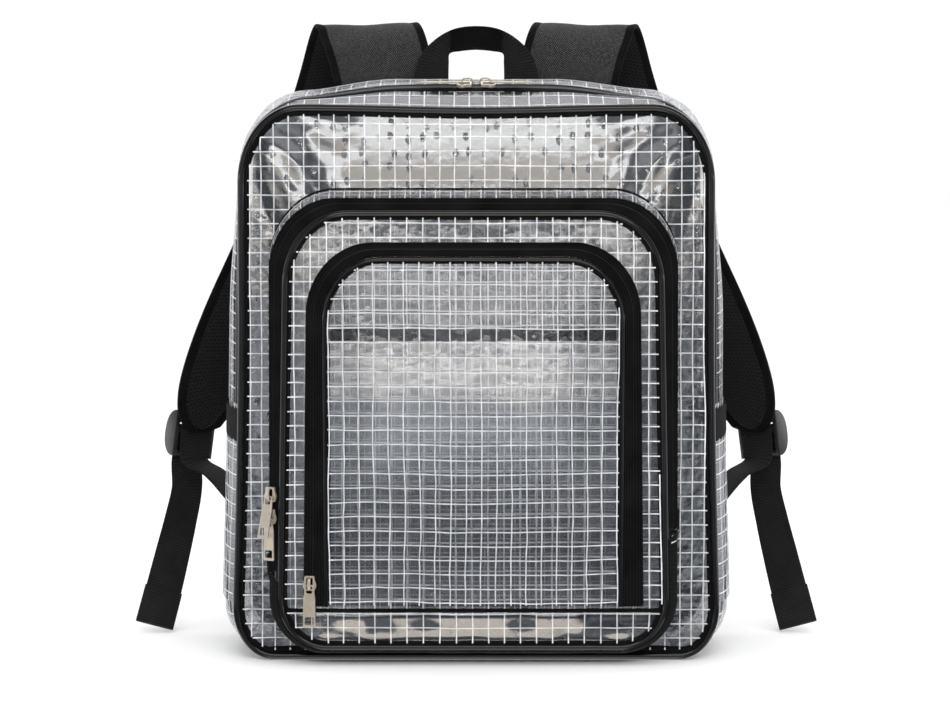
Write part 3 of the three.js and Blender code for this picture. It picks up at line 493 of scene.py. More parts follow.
def even_stations(o, start, end, step):
    """Stations with even steps of length along an outline."""
    fine, length = run_length(o, start, end)
    count = max(2, int(round(length[-1] / step)) + 1)
    return np.interp(np.linspace(0, length[-1], count), length, fine)


def run_stations(o, start, end, step):
    """Even stations along an outline, without the last where it closes, and whether it closes."""
    u = even_stations(o, start, end, step)
    ring = end - start > 8.9
    return u[:-1] if ring else u, ring


def station_cells(o, start, end, stations):
    """Each station's place along an outline, counted in threads."""
    fine, length = run_length(o, start, end)
    count = round(length[-1] / PITCH_X)
    return np.interp(stations, fine, length) / length[-1] * count


def wall_cells(across, first=WALL_FIRST):
    """A place across the wall, counted in threads."""
    return (across - first) * WALL_SPAN / PITCH_Z


def seam_distance(o, x, z):
    """About how far a point lies inside an outline."""
    slope = half_width(o, z + 0.5) - half_width(o, z - 0.5)
    beside = (half_width(o, z) - np.abs(x)) / np.sqrt(1 + slope**2)
    return np.minimum(np.minimum(beside, o.top - z), z - o.bottom)


# Surfaces: depth over (x, z) of the panels, and the body's wall over (station, across)

def level(y):
    return lambda x, z: y + 0 * x


def raised(depth, by):
    return lambda x, z: depth(x, z) - by


def crown(a, b):
    return np.maximum(0, 1 - a * a) * np.maximum(0, 1 - b * b)


def swells(x, z, seed, fine, broad):
    """Small swells of the film between the threads."""
    small = noise(x, z, 6.5, seed) * 0.6 + noise(x, z, 11, seed + 1)
    return fine * small + broad * noise(x, z, 34, seed + 2)


def corner_folds(x, z):
    """A pleat that runs down and inward from each top corner: up a slope, level, and down to the seam."""
    across = np.abs(x) * FOLD_ACROSS[0] + z * FOLD_ACROSS[1] + 4.0 * noise(x, z, 38, 5)
    up, down = (np.clip((across - a) / (b - a), 0, 1) for a, b in (FOLD_UP, FOLD_DOWN))
    near = smooth(z, 282, 316) * (1 - smooth(z, 346, 389))
    aside, below = FOLD_FROM[0] - np.abs(x), FOLD_FROM[1] - z
    reach = np.hypot(aside, below)
    rays = 0.16 * noise(np.arctan2(below, aside) * 70, reach * 0.35, 9, 8)
    rays = rays * smooth(reach, 12, 40) * (1 - smooth(reach, 76, 104))
    streaks = 0.16 * noise(across * 2.4, z * 0.8 + x * 0.3, 17, 7) * smooth(np.abs(x), 84, 104)
    return near * (FOLD_HEIGHT * (up - down) + streaks) + rays


def tape_lift(o, width, foot=0.0):
    """How far forward the threads stand over the tape beside a piping."""
    inner = o._replace(bottom=o.bottom + foot)
    return lambda x, z: TAPE_LIFT * (1 - smooth(seam_distance(inner, x, z), width, width + 2.5))


def sag(x, y, z):
    """How far the top of the front seam hangs down in the middle."""
    return SAG_DROP * np.exp(-((x / SAG_WIDTH) ** 2)) * smooth(z, *SAG_HEIGHTS) * smooth(-y, *SAG_DEPTHS)


def front_y(x, z):
    bulge = FRONT_CROWN * crown((x / 166) ** 3, (z - 195) / 195)
    edge = smooth(half_width(FRONT_SEAM, z) - np.abs(x), 2, 16)
    slack = 1 - 0.97 * smooth(z, 318, 332) * (1 - 0.5 * smooth(np.abs(x), 70, 110))
    relief = swells(x, z, 3, 0.05 * slack, 0.16 * slack) + corner_folds(x, z)
    return FRONT_Y - bulge - relief * edge


def pocket_face_y(x, z):
    return POCKET_FACE_Y - POCKET_CROWN * crown(x / 134, (z - 165) / 152)


def pocket_film_y(x, z):
    edge = smooth(half_width(POCKET_PIPE, z) - np.abs(x), 2, 14) * smooth(z, 14, 19)
    foot = (0.125 * (z - 27) + 0.65 * noise(x, z * 1.5, 17, 14)) * (1 - smooth(z, 35, 40))
    return pocket_face_y(x, z) - (swells(x, z, 11, 0.06, 0.2) + foot) * edge


def small_face_y(x, z):
    bulge = SMALL_CROWN * crown((x / 104) ** 3, (z - 163) / 122)
    edge = smooth(half_width(SMALL_PIPE, z) - np.abs(x), 1, 12)
    return pocket_face_y(x, z) - SMALL_STAND - bulge - swells(x, z, 21, 0.05, 0.2) * edge


def slip_y(x, z):
    drop = SLIP_BAND[1] - np.maximum(z, SLIP_PEAK)
    leaning = pocket_face_y(x, SLIP_BAND[1]) - SLIP_STAND - SLIP_LEAN * drop - SLIP_BOW * drop**2
    rise = np.clip((z - SLIP_FOOT) / (SLIP_PEAK - SLIP_FOOT), 0, 1)
    slack = pocket_face_y(x, SLIP_PEAK) - SLIP_STAND - leaning
    hanging = pocket_face_y(x, z) - SLIP_STAND - slack * rise
    return np.where(z > SLIP_PEAK, leaning, hanging) - 0.05 * noise(x, z, 30, 31)


def wall(station, across, stand=0.0):
    """The body's wall between the seams; across is 0 at the front and 1 at the back."""
    u, t = np.asarray(station, float), np.asarray(across, float)
    fx, fz = ring_point(FRONT_SEAM, u)
    bx, bz = ring_point(BACK_SEAM, u)
    nx, nz = ring_normal(FRONT_SEAM, u)
    arch = np.sin(np.pi * t) ** 0.85
    flat = np.minimum(1, 6 * np.sin(np.pi * t))
    side = BULGE_SIDE * (1 - SHOULDER_SHARE * smooth(fz, *SHOULDER_HEIGHTS))
    top = BULGE_TOP * (1 - SHOULDER_SHARE * smooth(np.abs(fx), *SHOULDER_WIDTHS))
    base = BULGE_BASE * np.maximum(-nz, 0) ** 2 * flat
    out = (side * nx**2 + top * np.maximum(nz, 0) ** 2) * arch + base + stand
    y = lerp(FRONT_Y + EDGE, BACK_Y - EDGE, t)
    x, z = lerp(fx, bx, t) + nx * out, lerp(fz, bz, t) + nz * out
    return points(x, y, z - sag(x, y, z))


def film_wall(station, across, stand=0.0):
    u, t = np.asarray(station, float), np.asarray(across, float)
    edge = np.minimum(1, 5 * np.sin(np.pi * t))
    grown = smooth(np.minimum(u, 9 - u), 0.9, 1.5)
    along = u * STATION_SPAN
    relief = (swells(along, t * WALL_SPAN, 41, 0.12, 0.5) + 0.5 * noise(along, t * 40, 24, 44)) * edge * grown
    return wall(u, t, stand + relief)


def side_pocket_wall(station, across, lift=0.0):
    return film_wall(station, across, SIDE_STAND + SIDE_SWELL * np.sin(np.pi * across) + lift)


def base_wall(station, across):
    return wall(np.where(station < 0, 9 + station, station), across)


def zip_across(station):
    return lerp(ZIP_AT_SIDE, ZIP_AT_TOP, smooth(right_side(station), ZIP_TURN[1], ZIP_TURN[0]))


def zip_half(station):
    """Half the main zip's visible width across the wall; the film closes over it at the top corners."""
    v = right_side(station)
    return ZIP_HALF * (1 - ZIP_SQUEEZE * smooth(v, 2.95, 3.25) * (1 - smooth(v, 3.85, 4.15)))


# Meshes

def grid_faces(n, m, ring=False):
    i, j = np.meshgrid(np.arange(n if ring else n - 1), np.arange(m - 1), indexing="ij")
    i, j, k = i.ravel(), j.ravel(), ((i + 1) % n).ravel()
    return np.stack([i * m + j, k * m + j, k * m + j + 1, i * m + j + 1], axis=1)


def shell(grid, thickness, ring=False):
    """A closed wall of the given thickness about a grid of middle points."""
    n, m = grid.shape[:2]
    along = np.roll(grid, -1, 0) - np.roll(grid, 1, 0) if ring else np.gradient(grid, axis=0)
    normal = unit(np.cross(along, np.gradient(grid, axis=1)))
    half = np.broadcast_to(np.asarray(thickness, float) / 2, (n, m))[..., None]
    verts = np.concatenate([(grid + normal * half).reshape(-1, 3), (grid - normal * half).reshape(-1, 3)])
    top = grid_faces(n, m, ring)
    faces = [top, top[:, ::-1] + n * m]
    column, row = np.arange(n) * m, np.arange(m)
    edges = [(column, 1), (column + m - 1, -1)]
    if ring:
        edges = [(np.append(line, line[0]), turn) for line, turn in edges]
    else:
        edges += [(row, -1), (row + (n - 1) * m, 1)]
    for line, turn in edges:
        a, b = line[:-1], line[1:]
        faces.append(np.stack([a, a + n * m, b + n * m, b], axis=1)[:, ::turn])
    return verts, np.concatenate(faces)


def sweep(centre, over, normal, profile, ring=False):
    """A profile of (over, normal) points, or one for each place, carried along a path with capped ends."""
    n, m = len(centre), np.shape(profile)[-2]
    a, b = np.moveaxis(np.broadcast_to(profile, (n, m, 2)), -1, 0)
    verts = centre[:, None] + over[:, None] * a[..., None] + normal[:, None] * b[..., None]
    i, j = np.meshgrid(np.arange(n if ring else n - 1), np.arange(m), indexing="ij")
    i, j = i.ravel(), j.ravel()
    k, l = (i + 1) % n, (j + 1) % m
    faces = [list(f) for f in np.stack([i * m + j, i * m + l, k * m + l, k * m + j], axis=1)]
    if not ring:
        faces += [list(range(m))[::-1], list(range((n - 1) * m, n * m))]
    return verts.reshape(-1, 3), faces


def ellipse(width, height, sides, power=1.0, power_up=None):
    """An oval; powers below 1 make it squarer."""
    a = np.linspace(0, 2 * np.pi, sides, endpoint=False)
    c, s = np.cos(a), np.sin(a)
    x = np.sign(c) * np.abs(c) ** power * width / 2
    return np.stack([x, np.sign(s) * np.abs(s) ** (power_up or power) * height / 2], axis=1)


def join(parts):
    """One mesh from several."""
    verts, faces, start = [], [], 0
    for v, f in parts:
        verts.append(v)
        faces += [[int(i) + start for i in face] for face in f]
        start += len(v)
    return np.concatenate(verts), faces


def mirrored(mesh):
    verts, faces = mesh
    return verts * (-1, 1, 1), [list(f)[::-1] for f in faces]


def one_face(u, v):
    """Weave coordinates for a grid."""
    return np.stack(np.broadcast_arrays(u, v), axis=-1).reshape(-1, 2)


def both_faces(u, v):
    """Weave coordinates for the two faces of a shell."""
    return np.tile(one_face(u, v), (2, 1))


def link(name, data):
    obj = bpy.data.objects.new(name, data)
    bpy.context.scene.collection.objects.link(obj)
    return obj


def piece(name, mesh, looks, slot, replaces=(), body=BAG, uv=None, sharp=40, shift=0.0):
    """A mesh with one or more looks that rides on a body and stands for the CAD nodes that it replaces."""
    verts, faces = mesh
    data = bpy.data.meshes.new(name)
    data.from_pydata(((verts + (shift, 0, 0)) * MM).tolist(), [], [list(map(int, f)) for f in faces])
    data.validate()
    data.shade_smooth()
    data.set_sharp_from_angle(angle=math.radians(sharp))
    for look in looks.split():
        data.materials.append(LOOKS[look])
    if uv is not None:
        layer = data.uv_layers.new(name="Weave")
        index = np.empty(len(data.loops), np.int32)
        data.loops.foreach_get("vertex_index", index)
        layer.data.foreach_set("uv", np.asarray(uv, np.float32)[index].ravel())
    obj = link(name, data)
    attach(obj, body)
    if replaces:
        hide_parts(*replaces)
    return obj


def pair(name, mesh, looks, slot, replaces=(), **facts):
    """A piece on the right side and its mirror image on the left."""
    made = []
    for side, shape in (("right", mesh), ("left", mirrored(mesh))):
        nodes = [f"{node}_{side}" for node in replaces]
        made.append(piece(f"{name}_{side}", shape, looks, slot, nodes, **facts))
    return made


def face_centres(obj):
    found = np.empty(3 * len(obj.data.polygons), np.float32)
    obj.data.polygons.foreach_get("center", found)
    return found.reshape(-1, 3).T / MM


def second_look(obj, where):
    obj.data.polygons.foreach_set("material_index", where.astype(np.int32))


def threads(surface, lines):
    """Thin flat threads on a surface; each line is a pair of arrays of the surface's two coordinates."""
    made = []
    profile = ellipse(THREAD_WIDTH, THREAD_HEIGHT, 6)
    for a, b in lines:
        if len(a) < 2:
            continue
        path = surface(a, b)
        d = 1e-3 * max(np.ptp(a), np.ptp(b), 1e-3)
        da = surface(a + d, b) - surface(a - d, b)
        db = surface(a, b + d) - surface(a, b - d)
        tangent = unit(np.gradient(path, axis=0))
        over = unit(np.cross(unit(np.cross(da, db)), tangent))
        made.append(sweep(path, over, unit(np.cross(tangent, over)), profile))
    return join(made)


def panel_grid(o, depth, foot=0.0, step=FILM_STEP):
    """Rows of points over an outline from its foot to its head."""
    x, z = ring_point(o, even_stations(o, 1.0, 4.0, step))
    keep = z >= o.bottom + foot
    x, z = x[keep], z[keep]
    columns = int(round(2 * np.max(x) / step)) + 1
    grid_x = x[:, None] * np.linspace(-1, 1, columns)[None]
    grid_z = np.repeat(z[:, None], columns, axis=1)
    return points(grid_x, depth(grid_x, grid_z), grid_z)


def panel_lines(o, weave, low, reach):
    """Unsteady thread lines over an outline as (x, z) arrays, ending short of its rim by the reach."""
    rim = inset(o, reach)
    bottom = max(low, rim.bottom)
    fine = np.linspace(bottom, rim.top, 800)
    width = half_width(rim, fine)
    slow = np.abs(np.gradient(width, fine)) < EDGE_SLOW
    lines = []
    for i in range(-20, 21):
        x = weave.x + i * weave.pitch
        x -= EDGE_DRAW * np.sign(x) * float(smooth(abs(x), *EDGE_DRAW_FROM))
        inside = fine[(width >= abs(x)) | (slow & (width >= abs(x) - EDGE_BEND))]
        if len(inside) < 8:
            continue
        z = np.linspace(inside[0], inside[-1], max(3, int((inside[-1] - inside[0]) / THREAD_STEP)))
        bent = np.sign(x) * np.minimum(abs(x), half_width(rim, z) - 0.4)
        sway = 0.45 * noise(z, x, 55, weave.seed) + 0.18 * noise(z, x, 13, weave.seed + 1)
        lines.append((bent + weave.unsteady * sway, z))
    for i in range(-1, 45):
        z = o.top - weave.z - i * PITCH_Z
        if not bottom + 1 < z < rim.top - 1:
            continue
        half = float(half_width(rim, z))
        x = np.linspace(-half, half, max(3, int(2 * half / THREAD_STEP)))
        sway = 0.5 * noise(x, z, 60, weave.seed + 2) + 0.18 * noise(x, z, 14, weave.seed + 3)
        lines.append((x, np.clip(z + weave.unsteady * sway, bottom, rim.top)))
    return lines


def film_panel(name, o, depth, weave, looks, lift, reach, foot=0.0, shift=0.0, step=FILM_STEP):
    """A film over an outline, with its threads; looks are those of the film and of the threads."""
    x, y, z = np.moveaxis(panel_grid(o, depth, foot, step), -1, 0)
    cells = both_faces((x - weave.x) / weave.pitch, (o.top - weave.z - z) / PITCH_Z)
    sheet = shell(points(x, y, z - sag(x, y, z)), FILM)
    film = piece(f"{name}_film", sheet, looks[0], "film", [name], uv=cells, shift=shift)

    def surface(x, z):
        y = depth(x, z) - lift(x, z)
        return points(x, y, z - sag(x, y, z))

    net = threads(surface, panel_lines(o, weave, o.bottom + foot, reach))
    return film, piece(f"{name}_threads", net, looks[1], "film", shift=shift)


def film_strip(name, make, look, grid, surface, over, lines, cells):
    """A film over a grid of (station, across), as a piece or a pair, with threads over its own surface."""
    make(f"{name}_film", shell(surface(*grid), FILM), look, "film", [name], uv=both_faces(*cells))
    make(f"{name}_threads", threads(over, lines), "white_thread", "film")


def wall_lines(start, end, low, high):
    """Thread lines on the body's wall between two stations and two limits across it."""
    lines = []
    for v in even_stations(FRONT_SEAM, start, end, PITCH_X)[1:-1]:
        a, b = float(low(v)), float(high(v))
        if b - a > 0.02:
            t = np.linspace(a, b, max(4, int((b - a) * WALL_SPAN / THREAD_STEP)))
            lines.append((v + 0.004 * noise(t * WALL_SPAN, v * 90, 40, 61), t))
    u = even_stations(FRONT_SEAM, start, end, THREAD_STEP)
    for t in np.arange(WALL_FIRST, 1, PITCH_Z / WALL_SPAN):
        inside = (t > low(u) + 0.01) & (t < high(u) - 0.01)
        edges = np.flatnonzero(np.diff(np.concatenate([[0], inside.astype(int), [0]])))
        for a, b in zip(edges[::2], edges[1::2]):
            if b - a > 3:
                run = u[a:b]
                lines.append((run, t + 0.004 * noise(run * STATION_SPAN, t, 60, 62)))
    return lines


def lines_along(run, places):
    """A straight thread line along the run, at each place across."""
    return [(run, np.full(len(run), v)) for v in places]


def lines_across(run, places):
    """A straight thread line across, over the run, at each place along."""
    return [(np.full(len(run), v), run) for v in places]


def tube(node, o, radius, depth, start=0.0, end=9.0, shift=0.0, step=2.6, sides=14):
    """A round piping cord along an outline."""
    u, ring = run_stations(o, start, end, step)
    x, z = ring_point(o, u)
    nx, nz = ring_normal(o, u)
    y = depth(x, z)
    centre = points(x, y, z - sag(x, y - 3, z))
    back = np.tile((0.0, 1.0, 0.0), (len(u), 1))
    mesh = sweep(centre, points(nx, 0, nz), back, ellipse(2 * radius, 2 * radius, sides), ring)
    uv = one_face(np.arange(len(u))[:, None] * step, np.arange(sides)[None] * 1.2)
    piece(f"{node}_cord", mesh, "black_piping", "piping", [node], uv=uv, shift=shift)


def seam_tape(name, o, outer, inner, depth, start=0.0, end=9.0, shift=0.0, foot=0.0, step=2.0):
    """The black binding that shows through the film beside a piping, wider along the foot."""
    u, ring = run_stations(o, start, end, step)
    wide = foot * (1 - smooth(np.minimum(u, 9 - u), 0.85, 1.25))
    rows = []
    for k in np.linspace(0, 1, 4):
        x, z = ring_point(inset(o, lerp(outer, inner, k)), u)
        z = z + wide * k
        y = depth(x, z)
        rows.append(points(x, y, z - sag(x, y - 3, z)))
    uv = both_faces(np.arange(len(u))[:, None] * step, np.linspace(0, inner - outer, 4)[None])
    piece(name, shell(np.stack(rows, axis=1), 0.5, ring), "black_tape", "piping", uv=uv, shift=shift)


def zip_strip(name, edges, stations, chain_at, shift=0.0):
    """A zip along a band: tape with raised edges beside the chain, and two rows of teeth."""
    outer, inner = edges(stations)
    width = np.linalg.norm(inner - outer, axis=1).mean()
    k, lift = np.array(TAPE_OUTER + [(chain_at + a, b) for a, b in TAPE_CHAIN] + TAPE_INNER).T
    along = unit(np.gradient(outer, axis=0))
    out = unit(np.cross(inner - outer, along))
    grid = outer[:, None] + (inner - outer)[:, None] * k[None, :, None] + out[:, None] * lift[None, :, None]
    distance = path_length(outer)
    uv = both_faces(distance[:, None], k[None] * width)
    piece(f"{name}_tape", shell(grid, 0.9), "black_tape", "zip_tape", [name], uv=uv, shift=shift)

    count = int(distance[-1] / TOOTH_PITCH)
    order = np.arange(len(stations))
    at = np.interp((np.arange(count) + 0.5) * TOOTH_PITCH, distance, order)

    def pick(v):
        return np.stack([np.interp(at, order, v[:, c]) for c in range(3)], axis=1)

    a, b, n, s = pick(outer), pick(inner), unit(pick(out)), unit(pick(along))
    over = unit(b - a)
    middle = a + (b - a) * chain_at + n * 0.35
    box = np.array([(x, y, z) for x in (-1, 1) for y in (-1, 1) for z in (-1, 1)], float)
    shape = box * np.array(TOOTH) / 2 * np.where(box[:, 2:3] > 0, TOOTH_TOP, 1.0)
    quads = np.array([(0, 1, 3, 2), (4, 6, 7, 5), (0, 4, 5, 1), (2, 3, 7, 6), (0, 2, 6, 4), (1, 5, 7, 3)])
    axes = np.stack([over, s, n], axis=1)
    faces = (np.arange(count)[:, None, None] * 8 + quads).reshape(-1, 4)
    rows = []
    for side in (-1, 1):
        base = middle + over * side * (TOOTH[0] * 0.5 - 0.1) + s * side / 2 * TOOTH_PITCH / 2
        rows.append(((base[:, None] + shape[None] @ axes).reshape(-1, 3), faces))
    piece(f"{name}_teeth", join(rows), "black_stitch", "zip_tape", shift=shift, sharp=20)


def webbing_mesh(centre, over, width, thick, sides=20):
    """Webbing along a path, flat with round edges, and its weave coordinates."""
    tangent = unit(np.gradient(centre, axis=0))
    over = square_to(over, tangent)
    flat = ellipse(width, thick, sides, 0.35, 0.5)
    mesh = sweep(centre, over, np.cross(over, tangent), flat)
    return mesh, one_face(path_length(centre)[:, None], flat[None, :, 0])


def webbing_run(rows, k, width, thick, centripetal=False):
    """Webbing through rows of x, y, z and width direction, read at k."""
    return webbing_mesh(spline(rows[:, :3], k, centripetal), unit(spline(rows[:, 3:], k)), width, thick)


def rounded(rows, steps=6):
    """An outline from rows of (across, along, corner radius) on one side, mirrored to the other."""
    half = [np.array(row, float) for row in rows]
    whole = half + [row * (-1, 1, 1) for row in half[::-1]]
    made = []
    for before, at, after in zip(whole[-1:] + whole[:-1], whole, whole[1:] + whole[:1]):
        a = at[:2] + unit(before[:2] - at[:2]) * at[2]
        b = at[:2] + unit(after[:2] - at[:2]) * at[2]
        for k in np.linspace(0, 1, steps):
            made.append((1 - k) ** 2 * a + 2 * k * (1 - k) * at[:2] + k**2 * b)
    return np.array(made)


def plate(outlines, middle, thick, bevel):
    """A flat plate with holes and rounded edges: the first outline is its rim, the rest are holes."""
    curve = bpy.data.curves.new("plate", "CURVE")
    curve.dimensions = "2D"
    curve.fill_mode = "BOTH"
    curve.extrude = thick / 2 - bevel
    curve.bevel_depth = bevel
    curve.bevel_resolution = 2
    curve.offset = -bevel
    for outline in outlines:
        line = curve.splines.new("POLY")
        line.points.add(len(outline) - 1)
        line.points.foreach_set("co", np.c_[outline, np.zeros(len(outline)), np.ones(len(outline))].ravel())
        line.use_cyclic_u = True
    obj = link("plate", curve)
    mesh = obj.evaluated_get(bpy.context.evaluated_depsgraph_get()).to_mesh()
    verts = np.array([v.co for v in mesh.vertices]) + (0, 0, middle)
    faces = [list(p.vertices) for p in mesh.polygons]
    bpy.data.objects.remove(obj)
    bpy.data.curves.remove(curve)
    return verts, faces


# Materials

class Nodes:
    """A node tree with short ways to add to it."""

    def __init__(self, tree):
        self.tree = tree

    def node(self, kind, settings, *values, **named):
        """A new node; values fill its inputs in order, named ones by their names."""
        made = self.tree.nodes.new(kind)
        for key, value in settings.items():
            setattr(made, key, value)
        filled = list(zip(made.inputs, values))
        filled += [(made.inputs[key], value) for key, value in named.items()]
        for target, value in filled:
            if isinstance(value, bpy.types.NodeSocket):
                self.tree.links.new(value, target)
            else:
                target.default_value = value
        return made

    def math(self, operation, *values):
        return self.node("ShaderNodeMath", {"operation": operation}, *values).outputs[0]

    def vector(self, operation, *values):
        return self.node("ShaderNodeVectorMath", {"operation": operation}, *values).outputs

    def map(self, value, low, high, start=0.0, end=1.0):
        """Start to end onto low to high."""
        return self.node("ShaderNodeMapRange", {}, value, start, end, low, high).outputs[0]

    def ramp(self, value, *stops):
        made = self.node("ShaderNodeValToRGB", {}, value)
        elements = made.color_ramp.elements
        while len(elements) < len(stops):
            elements.new(0.5)
        for element, (position, colour) in zip(elements, stops):
            element.position = position
            element.color = (*colour, 1.0)
        return made.outputs[0]

    def xyz(self, vector):
        return self.node("ShaderNodeSeparateXYZ", {}, vector).outputs


class Look(Nodes):
    """A material with one Principled shader."""

    def __init__(self, name, **values):
        self.material = bpy.data.materials.new(name)
        self.material.use_nodes = True
        super().__init__(self.material.node_tree)
        self.shader = next(n for n in self.tree.nodes if n.type == "BSDF_PRINCIPLED")
        for key, value in values.items():
            self.shader.inputs[key.replace("_", " ")].default_value = value

    def link(self, socket, name):
        self.tree.links.new(socket, self.shader.inputs[name])

    def coords(self):
        """Object coordinates in millimetres."""
        source = self.node("ShaderNodeTexCoord", {}).outputs["Object"]
        return self.node("ShaderNodeVectorMath", {"operation": "SCALE"}, source, Scale=1 / MM).outputs[0]

    def weave_coords(self):
        """Coordinates along and across the cloth: millimetres, or thread counts on film."""
        return self.node("ShaderNodeUVMap", {"uv_map": "Weave"}).outputs[0]

    def noise(self, scale, detail=2.0, rough=0.5):
        named = dict(Vector=self.coords(), Scale=scale, Detail=detail, Roughness=rough)
        return self.node("ShaderNodeTexNoise", {}, **named).outputs[0]

    def bump(self, height, distance, strength=1.0):
        named = dict(Height=height, Distance=distance * MM, Strength=strength)
        self.link(self.node("ShaderNodeBump", {}, **named).outputs[0], "Normal")

    def sine(self, value, pitch):
        """A wave from 0 to 1 with the given pitch."""
        wave = self.math("SINE", self.math("MULTIPLY", value, 2 * math.pi / pitch))
        return self.math("MULTIPLY_ADD", wave, 0.5, 0.5)

    def mixed(self, a, share, b):
        """A share of a, and the rest of b."""
        return self.math("MULTIPLY_ADD", a, share, self.math("MULTIPLY", b, 1 - share))

    def chance(self, whole):
        return self.node("ShaderNodeTexWhiteNoise", {"noise_dimensions": "2D"}, whole).outputs


def grey(v):
    return (v, v, v)


def make_film(name, tilt, pillow, pit, wrinkle, rough, alpha, ior):
    """Clear film: each cell between the threads tips its own way, bulges, and is pitted at its corners."""
    look = Look(name, Base_Color=FILM_HAZE, IOR=ior, Alpha=alpha, Roughness=rough[0])
    cell = look.weave_coords()
    slope = look.vector("SUBTRACT", look.chance(look.vector("FLOOR", cell)[0])["Color"], (0.5, 0.5, 0.5))[0]
    place = look.vector("SUBTRACT", look.vector("FRACTION", cell)[0], (0.5, 0.5, 0.0))[0]
    tipped = look.vector("DOT_PRODUCT", slope, place)[1]
    u, v, _ = look.xyz(cell)
    arch = [look.math("ABSOLUTE", look.math("SINE", look.math("MULTIPLY", c, math.pi))) for c in (u, v)]
    bulge = look.math("MULTIPLY", look.math("MULTIPLY", *arch), pillow)
    height = look.math("MULTIPLY_ADD", tipped, 2 * tilt, bulge)

    beside = look.vector("ADD", cell, (0.62, 0.38, 0.0))[0]
    whole = look.vector("FLOOR", beside)[0]
    aside = look.vector("MULTIPLY_ADD", look.chance(whole)["Color"], (0.45, 0.6, 0.0), (0.275, 0.2, 0.0))[0]
    away = look.vector("SUBTRACT", look.vector("FRACTION", beside)[0], aside)[0]
    away = look.vector("LENGTH", look.vector("MULTIPLY", away, (1.0, 0.6, 0.0))[0])[1]
    ragged = look.math("MULTIPLY_ADD", look.noise(0.45), 0.3, away)
    soft = {"interpolation_type": "SMOOTHSTEP"}
    dent = look.node("ShaderNodeMapRange", soft, ragged, 0.15, 0.36, 1.0, 0.0).outputs[0]
    other = look.vector("ADD", whole, (17.0, 31.0, 0.0))[0]
    deep = look.math("POWER", look.chance(other)["Value"], 2.0)
    height = look.math("MULTIPLY_ADD", look.math("MULTIPLY", dent, deep), -pit, height)

    size, low, high, foot, head = wrinkle
    grown = look.map(look.xyz(look.coords())[2], low, high, foot, head)
    height = look.math("MULTIPLY_ADD", look.noise(1 / size, 1.0), grown, height)
    look.link(look.map(look.noise(0.035), *rough), "Roughness")
    look.bump(height, 1.0)
    return look.material


def make_plain(name, values, tone, dark, light, rough, relief):
    """A mottled colour, and where given a mottled roughness and a fine relief."""
    look = Look(name, **values)
    look.link(look.ramp(look.noise(*tone[:2]), (0.3, dark), (tone[2], light)), "Base Color")
    if rough:
        look.link(look.map(look.noise(*rough[:2]), *rough[2:]), "Roughness")
    if relief:
        look.bump(look.noise(*relief[:2]), *relief[2:])
    return look.material


def make_tape(name, dark, light, pitch):
    """Woven tape: fine ribs along it and a finer weave across."""
    look = Look(name, Roughness=0.8, Specular_IOR_Level=0.05, Sheen_Weight=0.008, Sheen_Roughness=0.5)
    along, across, _ = look.xyz(look.weave_coords())
    weave = look.math("MULTIPLY", look.sine(across, pitch), look.sine(along, pitch * 0.8))
    tone = look.mixed(look.noise(0.05, 3.0), 0.5, weave)
    look.link(look.ramp(tone, (0.15, grey(dark)), (0.85, grey(light))), "Base Color")
    look.bump(weave, 0.2, 0.6)
    return look.material


def make_webbing(name, dark, light):
    """Heavy webbing: ribs across it, with a slight twill along them."""
    look = Look(name, Roughness=0.75, Specular_IOR_Level=0.08, Sheen_Weight=0.02, Sheen_Roughness=0.4)
    along, across, _ = look.xyz(look.weave_coords())
    twill = look.math("ADD", along, look.math("MULTIPLY", look.sine(across, 2.4), 0.35))
    weave = look.mixed(look.sine(across, 1.2), 0.35, look.sine(twill, 2.0))
    tone = look.mixed(look.noise(0.06, 3.0), 0.4, weave)
    look.link(look.ramp(tone, (0.1, grey(dark)), (0.9, grey(light))), "Base Color")
    look.bump(weave, 0.35, 0.7)
    return look.material


def make_strap_cloth(name):
    """Charcoal twill of the straps' outer face: diagonal ribs with pale flecks."""
    look = Look(name, Roughness=0.85, Specular_IOR_Level=0.12, Sheen_Weight=0.08, Sheen_Roughness=0.45)
    along, across, _ = look.xyz(look.weave_coords())
    ribs = look.sine(look.math("ADD", along, look.math("PINGPONG", across, 9.0)), 1.7)
    weave = look.math("MULTIPLY", ribs, look.noise(0.75, 3.0, 0.7))
    stops = (0.05, grey(0.006)), (0.35, grey(0.026)), (0.65, grey(0.13))
    look.link(look.ramp(weave, *stops), "Base Color")
    look.bump(weave, 0.3, 0.7)
    return look.material


def make_air_mesh(name):
    """Black spacer mesh: rows of round holes, every other row moved by half a pitch, with painted shade
    darkening the holes.
    """
    look = Look(name, Roughness=0.9, Specular_IOR_Level=0.1, Sheen_Weight=0.04)
    along, across, _ = look.xyz(look.weave_coords())
    slant = look.math("MULTIPLY", across, 0.55)
    waves = [look.sine(look.math(operation, along, slant), 2.9) for operation in ("ADD", "SUBTRACT")]
    holes = look.math("MULTIPLY", *waves)
    # painted shade: the holes are coloured darker than the mesh, as the shade inside them
    look.link(look.ramp(holes, (0.25, grey(0.011)), (0.6, grey(0.003))), "Base Color")
    look.bump(look.math("SUBTRACT", 1.0, holes), 0.8, 0.8)
    return look.material


# Pieces

